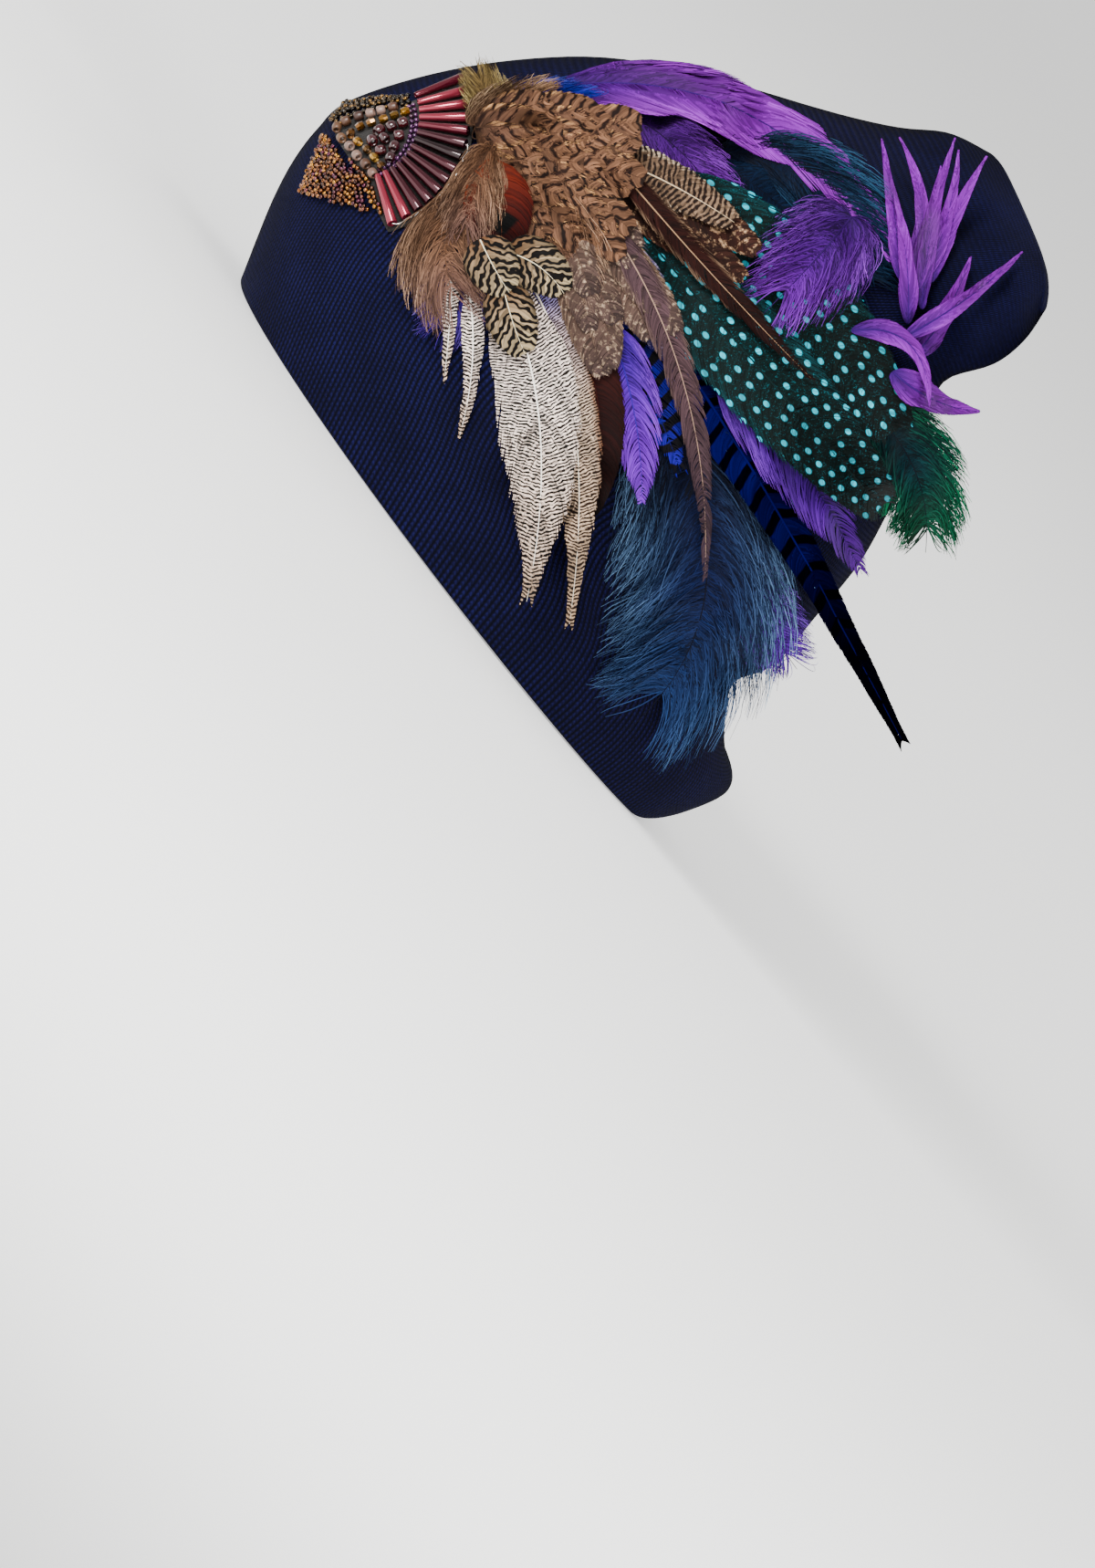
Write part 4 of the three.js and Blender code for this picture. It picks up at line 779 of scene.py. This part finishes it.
# The barbs, web and quills of one feather in place of its solid, or of loose strands over another's.
def makeFeather(materials, over, name, formName, lookName, start, via, end, wide, rise):
    form, look = forms[formName], featherLooks[lookName]
    face = Face(over or name)
    made = {"points": [], "faces": [], "marks": [], "lie": [], "count": 0}
    whole = Quill(*(np.array(p) * board["span"] for p in (start, via, end)))
    quills = [(whole, wide)] if name not in bunches else smallQuills(bunches[name], whole, form, wide)
    for quill, width in quills:
        if form["web"]:
            growWeb(form, quill, width, face, made)
        growBarbs(form, quill, width, face, rise, made)
        growShaft(form, quill, width, face, made)
    points, faces, marks, spread = (np.concatenate(made[key]) for key in ("points", "faces", "marks", "lie"))
    mesh = bpy.data.meshes.new(name + "_barbs")
    mesh.vertices.add(len(points))
    mesh.vertices.foreach_set("co", points.ravel())
    mesh.loops.add(faces.size)
    mesh.loops.foreach_set("vertex_index", faces.ravel().astype(np.int32))
    mesh.polygons.add(len(faces))
    mesh.polygons.foreach_set("loop_start", np.arange(0, faces.size, 4, dtype=np.int32))
    mesh.polygons.foreach_set("use_smooth", np.ones(len(faces), bool))
    mesh.update(calc_edges=True)
    # aside is how far out from the quill, for markings that are alike on both sides of it
    aside = np.abs(marks[:, 1]) * wide * board["span"] / 2 / vane["mapUnit"]
    for key, kind, field, values in (("barb", "FLOAT_VECTOR", "vector", marks[:, :3]),
                                     ("shaft", "FLOAT", "value", marks[:, 3]), ("aside", "FLOAT", "value", aside)):
        mesh.attributes.new(key, kind, "POINT").data.foreach_set(field, values.ravel().astype(np.float32))
    lie = spread[faces.ravel()] / vane["mapUnit"]
    mesh.uv_layers.new(name="vane").data.foreach_set("uv", lie.ravel().astype(np.float32))
    if lookName not in materials:
        materials[lookName] = featherMaterial(lookName, look)
    mesh.materials.append(materials[lookName])
    piece = newObject(name + "_barbs", mesh)
    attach(piece, "root")
    if not over:
        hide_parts(name)
    return len(faces) * 2


# The beaded fan. Places are shares of the board's span from the fan's middle, sizes millimetres. A field has an
# upper and a lower edge, and a row has its beads' diameter and the place of each.
beadwork = {
    "seedPitch": 1.5,
    "seedLength": 1.15,
    "seedShape": (9, 5),  # sides round the hole and bands over the body
    "seedSizes": (0.93, 1.06),
    "cutShape": (8, 5),
    "roundShape": (16, 9),
    "rowLength": 0.92,  # a share of the diameter, as is body
    "body": 0.33,
    "seedStep": 0.3,  # how finely places for a seed bead are tried
    "seedPacking": 0.93,  # how close two may come, as a share of the pitch
    "seedSunk": -0.6,  # from the plate's face
    "seedOnFelt": 0.7,
    "ringHeight": 1.0,
    "fields": {
        "seed_field_upper": ([(-0.038, 0.008), (-0.021, 0.03), (0.018, 0.035), (0.056, 0.036)],
                             [(-0.027, -0.002), (-0.011, 0.009), (0.018, 0.016), (0.052, 0.0205)]),
        "seed_field_lower": ([(-0.044, -0.008), (-0.056, -0.034), (-0.066, -0.058), (-0.071, -0.072)],
                             [(-0.031, -0.012), (-0.011, -0.039), (0.007, -0.058), (0.026, -0.101)]),
    },
    "rows": {
        "frosted_beads": (3.0, [(0.036, 0.015), (0.0235, 0.0125), (0.0115, 0.0085), (-0.001, 0.0055),
                                (-0.0135, 0.002), (-0.0245, -0.0065), (-0.0185, -0.0175), (-0.0105, -0.0275),
                                (-0.0015, -0.0365), (0.0065, -0.0465), (0.0145, -0.0565)]),
        "gold_beads": (2.8, [(0.0485, 0.0105), (0.037, 0.0065), (0.025, 0.0025), (0.0125, -0.0015), (0.001, -0.0055),
                             (-0.0085, -0.0125), (-0.001, -0.0215), (0.0075, -0.0305), (0.0155, -0.0395),
                             (0.0235, -0.0485)]),
        "garnet_beads": (3.3, [(0.0465, -0.0025), (0.034, -0.0065), (0.021, -0.0105), (0.0135, -0.0215),
                               (0.0265, -0.0195), (0.0225, -0.0325), (0.0425, -0.0165), (0.0375, -0.0285),
                               (0.0335, -0.0405)]),
    },
    "beadClearance": 0.35,
    "beadFrom": 90,  # how far out a row's bead starts where it misses the felt
    "bugles": 14,
    "bugleDiameter": 2.0,
    "bugleBore": 0.9,
    "bugleSides": 14,
    "bugleBevel": 0.15,
    "bugleFlare": 0.6,  # how much wider a bugle's outer end is
    "ringRadii": (0.0605, 0.0555),
    "ringFrom": 22,
    "ringTo": -76,
}


# One bead, lying along its hole: a ring with a fat body, so its ends are pierced. It is the pattern for many.
def beadPattern(diameter, length, sides, bands):
    bpy.ops.object.select_all(action="DESELECT")
    body = diameter * beadwork["body"]
    bpy.ops.mesh.primitive_torus_add(major_segments=sides, minor_segments=bands, minor_radius=body / 2 / perMetre,
                                     major_radius=(diameter / 2 - body / 2 * 0.98) / perMetre)
    piece = bpy.context.object
    bpy.ops.object.mode_set(mode="EDIT")
    bpy.ops.mesh.select_all(action="SELECT")
    bpy.ops.transform.resize(value=(1, 1, length / body))
    bpy.ops.object.mode_set(mode="OBJECT")
    points = np.array([v.co[:] for v in piece.data.vertices])
    faces = np.array([p.vertices[:] for p in piece.data.polygons])
    bpy.data.objects.remove(piece)
    return points, faces


# Copies of a pattern, each turned to its axis, joined to one mesh. tone is one number for each copy.
def strew(name, pattern, places, axes, sizes, material, node, flat=False):
    points, faces = pattern
    allPoints, allFaces, tones = [], [], []
    for k, (place, axis) in enumerate(zip(places, axes)):
        turned = Vector(axis).to_track_quat("Z", "Y").to_matrix()
        allPoints.append(points * sizes[k] @ np.array(turned).T + place)
        allFaces.append(faces + k * len(points))
        tones += [dice.uniform()] * len(points)
    mesh = bpy.data.meshes.new(name)
    mesh.from_pydata(np.concatenate(allPoints).tolist(), [], np.concatenate(allFaces).tolist())
    mesh.polygons.foreach_set("use_smooth", [not flat] * len(mesh.polygons))
    mesh.attributes.new("tone", "FLOAT", "POINT").data.foreach_set("value", tones)
    mesh.materials.append(material)
    piece = newObject(name, mesh)
    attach(piece, "root")
    if node:
        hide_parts(node)


# Lustred, frosted and clear glass. tones are the colours that single beads of a lot come in; on the bugles they run
# from painted shade to painted light.
def glassMaterial(name, tones, roughness, metallic, coat):
    material, tree, shader = newMaterial(name, {"Roughness": roughness, "Metallic": metallic, "IOR": 1.52,
                                                "Coat Weight": coat, "Coat Roughness": 0.06})
    tone = put(tree, "Attribute", {}, attribute_name="tone").outputs["Fac"]
    stops = [(k / (len(tones) - 1), colour) for k, colour in enumerate(tones)]
    tree.links.new(put(tree, "ValToRGB", {0: tone}, stops).outputs[0], shader.inputs["Base Color"])
    return material


def insideOutline(outline, x, y):
    crossings = 0
    for a, b in zip(outline, np.roll(outline, -1, axis=0)):
        crossings += (a[1] > y) != (b[1] > y) and x < a[0] + (y - a[1]) / (b[1] - a[1]) * (b[0] - a[0])
    return crossings % 2 == 1


def makeSeedField(name, upper, lower, material):
    plate, felt = surfaceOf(name), surfaceOf("bead_backing")
    outline = np.array(upper + lower[::-1]) * board["span"]
    low, high = outline.min(0), outline.max(0)
    places, axes, taken = [], [], np.empty((0, 3))
    for y in np.arange(high[1], low[1], -beadwork["seedStep"]):
        for x in np.arange(low[0], high[0], beadwork["seedStep"]):
            if not insideOutline(outline, x, y):
                continue
            spot, normal = meet(plate, x, y)
            height = beadwork["seedSunk"]
            if spot is None:  # between the plate and the next row the beads are sewn to the felt
                spot, normal = meet(felt, x, y)
                height = beadwork["seedOnFelt"]
            if spot is None:
                continue
            place = np.array(spot) * perMetre + np.array(normal) * height
            apart = np.linalg.norm(taken - place, axis=1)
            if (apart < beadwork["seedPitch"] * beadwork["seedPacking"]).any():
                continue
            taken = np.vstack([taken, place])
            places.append((place + np.array(normal) * dice.uniform(-0.2, 0.25)) / perMetre)
            axes.append(0.8 * alongRim + 0.5 * aboveRim + dice.normal(0, 0.3, 3))
    pattern = beadPattern(beadwork["seedPitch"] * 1.02, beadwork["seedLength"], *beadwork["seedShape"])
    sizes = dice.uniform(*beadwork["seedSizes"], len(places))
    strew(name + "_beads", pattern, places, axes, sizes, material, name)
    print(name + ":", len(places), "beads")


def makeBeadRow(name, diameter, places, material, pattern, flat):
    surface = surfaceOf("bead_backing")
    spots, axes = [], []
    for x, y in np.array(places) * board["span"]:
        spot, normal = meet(surface, x, y)
        if spot is None:
            spot, normal, _, _ = surface.find_nearest(Vector(fromBoard(x, y, beadwork["beadFrom"])))
        spots.append(np.array(spot) + np.array(normal) * (beadwork["beadClearance"] + diameter / 2) / perMetre)
    for k in range(len(spots)):
        step = spots[min(k + 1, len(spots) - 1)] - spots[max(k - 1, 0)]
        axes.append(step / np.linalg.norm(step) + dice.normal(0, 0.08, 3))
    strew(name + "_strung", pattern, spots, axes, dice.uniform(0.96, 1.03, len(spots)), material, name, flat)


# Felt behind the beads, cut to the fan. Wool felt is matt and a little hairy.
def feltMaterial():
    material, tree, shader = newMaterial("wool felt, near black", {"Roughness": 1.0, "Sheen Weight": 0.1})
    where = put(tree, "TexCoord", {}).outputs["Object"]
    fibre = put(tree, "TexNoise", {"Vector": where, "Scale": 1500, "Detail": 3})  # fibres lie 0.7 mm apart
    colour = put(tree, "ValToRGB", {0: fibre}, [(0.3, "#080605"), (0.7, "#16110d")])
    bump = put(tree, "Bump", {"Height": fibre, "Distance": 0.3 / perMetre})
    tree.links.new(colour.outputs[0], shader.inputs["Base Color"])
    tree.links.new(bump.outputs[0], shader.inputs["Normal"])
    return material


# A bugle is a cut glass tube with a lined bore: its wall, its bevelled ends and the flare to its outer end.
def makeBugles(material):
    fanMiddle = np.array(meet(surfaceOf("bead_backing"), 0, 0)[0])
    wall = (beadwork["bugleDiameter"] - beadwork["bugleBore"]) / 2
    for k in range(beadwork["bugles"]):
        name = f"bugle_{k + 1:02d}"
        corners = cornersOf(name)
        middle = corners.mean(0)
        axis = np.linalg.svd(corners - middle, full_matrices=False)[2][0]
        length = np.ptp((corners - middle) @ axis)
        if np.dot(middle - fanMiddle, axis) < 0:
            axis = -axis
        bpy.ops.object.select_all(action="DESELECT")
        bpy.ops.mesh.primitive_cylinder_add(vertices=beadwork["bugleSides"], depth=length, end_fill_type="NOTHING",
                                            radius=beadwork["bugleDiameter"] / 2 / perMetre)
        piece = bpy.context.object
        piece.name = piece.data.name = name + "_glass"
        for kind, settings in (("SOLIDIFY", {"thickness": wall / perMetre, "offset": -1.0}),
                               ("BEVEL", {"width": beadwork["bugleBevel"] / perMetre, "segments": 2,
                                          "limit_method": "ANGLE", "angle_limit": math.radians(50)})):
            modifier = piece.modifiers.new(kind.title(), kind)
            for key, value in settings.items():
                setattr(modifier, key, value)
            bpy.ops.object.modifier_apply(modifier=modifier.name)
        bpy.ops.object.shade_smooth_by_angle(angle=math.radians(40))
        for vertex in piece.data.vertices:
            flare = 1 + beadwork["bugleFlare"] * (vertex.co.z / length + 0.5)
            vertex.co.x, vertex.co.y = vertex.co.x * flare, vertex.co.y * flare
        turned = Vector(axis).to_track_quat("Z", "Y").to_matrix().to_4x4()
        piece.data.transform(Matrix.Translation(middle) @ turned)
        # painted light: the top ones, brightest at the third, and the last two take the lit rose end of the glass's
        # colours, the others its shaded, plum-dark end
        lit = min(1, max(0, 1.15 - abs(k - 2) / 3.2)) if k < 7 else (0.8 if k > 11 else 0.25)
        tones = piece.data.attributes.new("tone", "FLOAT", "POINT")
        tones.data.foreach_set("value", [lit * dice.uniform(0.8, 1.0)] * len(piece.data.vertices))
        piece.data.materials.append(material)
        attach(piece, "root")
        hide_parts(name)


# Two rings of small beads where the bugles start.
def makeInnerRing(material):
    surface = surfaceOf("bead_backing")
    places, axes = [], []
    for radius in beadwork["ringRadii"]:
        radius = radius * board["span"]
        sweep = beadwork["ringTo"] - beadwork["ringFrom"]
        count = int(math.radians(-sweep) * radius / beadwork["seedPitch"])
        for k in range(count):
            at = math.radians(beadwork["ringFrom"] + sweep * (k + 0.5) / count)
            spot, normal = meet(surface, radius * math.cos(at), radius * math.sin(at))
            if spot is None:
                continue
            places.append(np.array(spot) + np.array(normal) * beadwork["ringHeight"] / perMetre)
            axes.append(-math.sin(at) * alongRim + math.cos(at) * aboveRim + dice.normal(0, 0.3, 3))
    pattern = beadPattern(beadwork["seedPitch"], beadwork["seedLength"], *beadwork["seedShape"])
    sizes = dice.uniform(*beadwork["seedSizes"], len(places))
    strew("inner_ring_beads", pattern, places, axes, sizes, material, None)


# Silver thread that holds the bugles' outer ends, in one scallop from each to the next.
scallops = {
    "radius": 0.16,
    "firstBugle": 5,
    "steps": 6,  # from one bugle to the next
    "past": 0.6,  # beyond the bugles' ends, and bow more half way between two
    "bow": 1.1,
    "over": 1.5,  # out from the ends, and dip less half way between two
    "dip": 1.6,
    "fanOut": 60,
}


def makeThread():
    fanTop = fromBoard(0, 0, scallops["fanOut"])
    tips = []
    for k in range(beadwork["bugles"]):
        corners = cornersOf(f"bugle_{k + 1:02d}")
        reach = np.linalg.norm(corners - fanTop, axis=1)
        tips.append(corners[reach > np.sort(reach)[-len(reach) // 2]].mean(0))
    route = []
    for k in range(scallops["firstBugle"], beadwork["bugles"] - 1):
        for share in np.arange(scallops["steps"]) / scallops["steps"]:
            point = tips[k] * (1 - share) + tips[k + 1] * share
            outward = (point - fanTop) / np.linalg.norm(point - fanTop)
            bow = math.sin(math.pi * share)
            point = point + outward * (scallops["past"] + scallops["bow"] * bow) / perMetre
            route.append(point + boardOut * (scallops["over"] - scallops["dip"] * bow) / perMetre)
    route.append(tips[-1] + boardOut * scallops["over"] / perMetre)
    curve = bpy.data.curves.new("silver_thread", "CURVE")
    curve.dimensions = "3D"
    curve.bevel_depth, curve.bevel_resolution, curve.resolution_u = scallops["radius"] / perMetre, 2, 3
    spline = curve.splines.new("NURBS")
    spline.points.add(len(route) - 1)
    spline.points.foreach_set("co", np.hstack([np.array(route), np.ones((len(route), 1))]).ravel())
    spline.use_endpoint_u = True
    selectOnly(newObject("silver_thread", curve))
    bpy.ops.object.convert(target="MESH")
    thread = bpy.context.object
    # metal foil wound round a core: bright, with a fine twist
    material, tree, shader = newMaterial("silver-wrapped thread", {"Roughness": 0.35, "Metallic": 1.0})
    where = put(tree, "TexCoord", {}).outputs["Object"]
    twist = put(tree, "TexWave", {"Vector": where, "Scale": 900, "Distortion": 2})
    colour = put(tree, "ValToRGB", {0: twist}, [(0.0, "#9a9490"), (1.0, "#f0ece4")])
    tree.links.new(colour.outputs[0], shader.inputs["Base Color"])
    thread.data.materials.clear()
    thread.data.materials.append(material)
    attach(thread, "root")


makeKnitCap()

materials = {}
added = 0
for row in feathers:
    added += makeFeather(materials, None, *row)
for over, *row in fringes:
    added += makeFeather(materials, over, *row)
print("feathers:", len(feathers) + len(fringes), "pieces,", added, "triangles")

seedLooks = {  # name, tones, roughness, metallic and coat of the glass, and its slot
    "seed_field_upper": ("lustred seed glass, gold", ["#140b02", "#2c1e04", "#785210", "#180f03", "#46320a"],
                         0.14, 0.9, 0.4, "seed_gold"),
    "seed_field_lower": ("lustred seed glass, bronze",
                         ["#2a1404", "#84480a", "#3c1e06", "#541a34", "#b0761a", "#46160c"],
                         0.14, 0.9, 0.45, "seed_bronze"),
}
for name, (upper, lower) in beadwork["fields"].items():
    *glass, slot = seedLooks[name]
    makeSeedField(name, upper, lower, glassMaterial(*glass))
rowLooks = {  # as above, then whether the beads are cut with flat faces
    "frosted_beads": ("frosted glass, mauve", ["#321c14", "#4e3022", "#886c60", "#3c2216", "#5e402a"],
                      0.4, 0.1, 0.0, "frosted_glass", False),
    "gold_beads": ("cut glass, gold lined", ["#6a4008", "#a8761a", "#4a2a06", "#c09030"],
                   0.12, 0.85, 0.5, "gold_glass", True),
    "garnet_beads": ("clear glass, garnet", ["#240408", "#38060c"], 0.06, 0.0, 0.8, "garnet_glass", False),
}
for name, (diameter, places) in beadwork["rows"].items():
    *glass, slot, flat = rowLooks[name]
    shape = beadwork["cutShape"] if flat else beadwork["roundShape"]
    pattern = beadPattern(diameter, diameter * beadwork["rowLength"], *shape)
    makeBeadRow(name, diameter, places, glassMaterial(*glass), pattern, flat)
# the rose glass from shaded to lit: each bugle's painted light picks its colour on it
rose = ["#1e060a", "#460c1c", "#801e32", "#b03e50"]
makeBugles(glassMaterial("silk-lined bugle glass, rose", rose, 0.16, 0.6, 0.45))
plum = ["#2a1030", "#4a1c4c", "#6a3468", "#3c1428"]
makeInnerRing(glassMaterial("lustred seed glass, plum", plum, 0.15, 0.5, 0.8))
makeThread()
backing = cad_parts["bead_backing"]
backing.data.materials.clear()
backing.data.materials.append(feltMaterial())
print("beadwork done")

# Stage: a plain pale floor under the rim, soft studio light all round, and the photograph's angle.
stage = {
    "floorSize": 80,  # metres, as are distance and sharpAt
    "floorGlow": 0.5,  # lit from behind, as a light table is
    "skyGlow": 0.62,
    "distance": 10,
    "frameHeight": 464,
    "sharpAt": 0.045,
    "aimAlong": 66.3,
    "aimUp": -17.4,
    "cosRoll": 0.59,
    "sinRoll": 0.807,
    "lights": [  # name, where, size, watts
        ("key", (1.0, -2.1, 1.0), 0.9, 115),
        ("fill", (1.9, 0.2, 0.7), 1.4, 30),
        ("back", (-0.9, 1.5, 1.6), 1.2, 22),
    ],
}
bpy.ops.object.select_all(action="DESELECT")
bpy.ops.mesh.primitive_plane_add(size=stage["floorSize"], location=(0, 0, -0.6 / perMetre))
floor = bpy.context.object
floor.name = "floor"
floor.data.transform(floor.matrix_world)
floor.matrix_world = Matrix.Identity(4)
floorMaterial, tree, shader = newMaterial("painted studio floor, white", {"Roughness": 0.9})
shader.inputs["Base Color"].default_value = toLinear("#fafaf8")
shader.inputs["Emission Color"].default_value = toLinear("#ffffff")
shader.inputs["Emission Strength"].default_value = stage["floorGlow"]
floor.data.materials.append(floorMaterial)

world = bpy.data.worlds.new("studio")
bpy.context.scene.world = world
world.use_nodes = True
world.node_tree.nodes["Background"].inputs[0].default_value = toLinear("#ffffff")
world.node_tree.nodes["Background"].inputs[1].default_value = stage["skyGlow"]

for name, where, size, watts in stage["lights"]:
    lamp = bpy.data.lights.new(name, "AREA")
    lamp.energy, lamp.size = watts, size
    lampObject = newObject(name, lamp)
    lampObject.location = where
    lampObject.rotation_euler = (Vector((0, 0, 0.1)) - Vector(where)).to_track_quat("-Z", "Y").to_euler()

# the camera looks straight at the board, rolled so that the cap stands upright in the picture
aim = (stage["aimAlong"] * alongRim + stage["aimUp"] * aboveRim) / perMetre
imageRight = stage["cosRoll"] * alongRim + stage["sinRoll"] * aboveRim
imageUp = -stage["sinRoll"] * alongRim + stage["cosRoll"] * aboveRim
camera = newObject("camera", bpy.data.cameras.new("camera"))
place = aim + boardOut * stage["distance"]
axes = [Vector(v / np.linalg.norm(v)) for v in (imageRight, imageUp, boardOut)]
turned = Matrix([[a[i] for a in axes] for i in range(3)]).to_4x4()
camera.matrix_world = Matrix.Translation(Vector(place)) @ turned
camera.data.sensor_width = 36
camera.data.lens = 36 * (stage["distance"] - stage["sharpAt"]) * perMetre / stage["frameHeight"]
camera.data.clip_end = 200
bpy.context.scene.camera = camera
print("stage, lights and camera set")
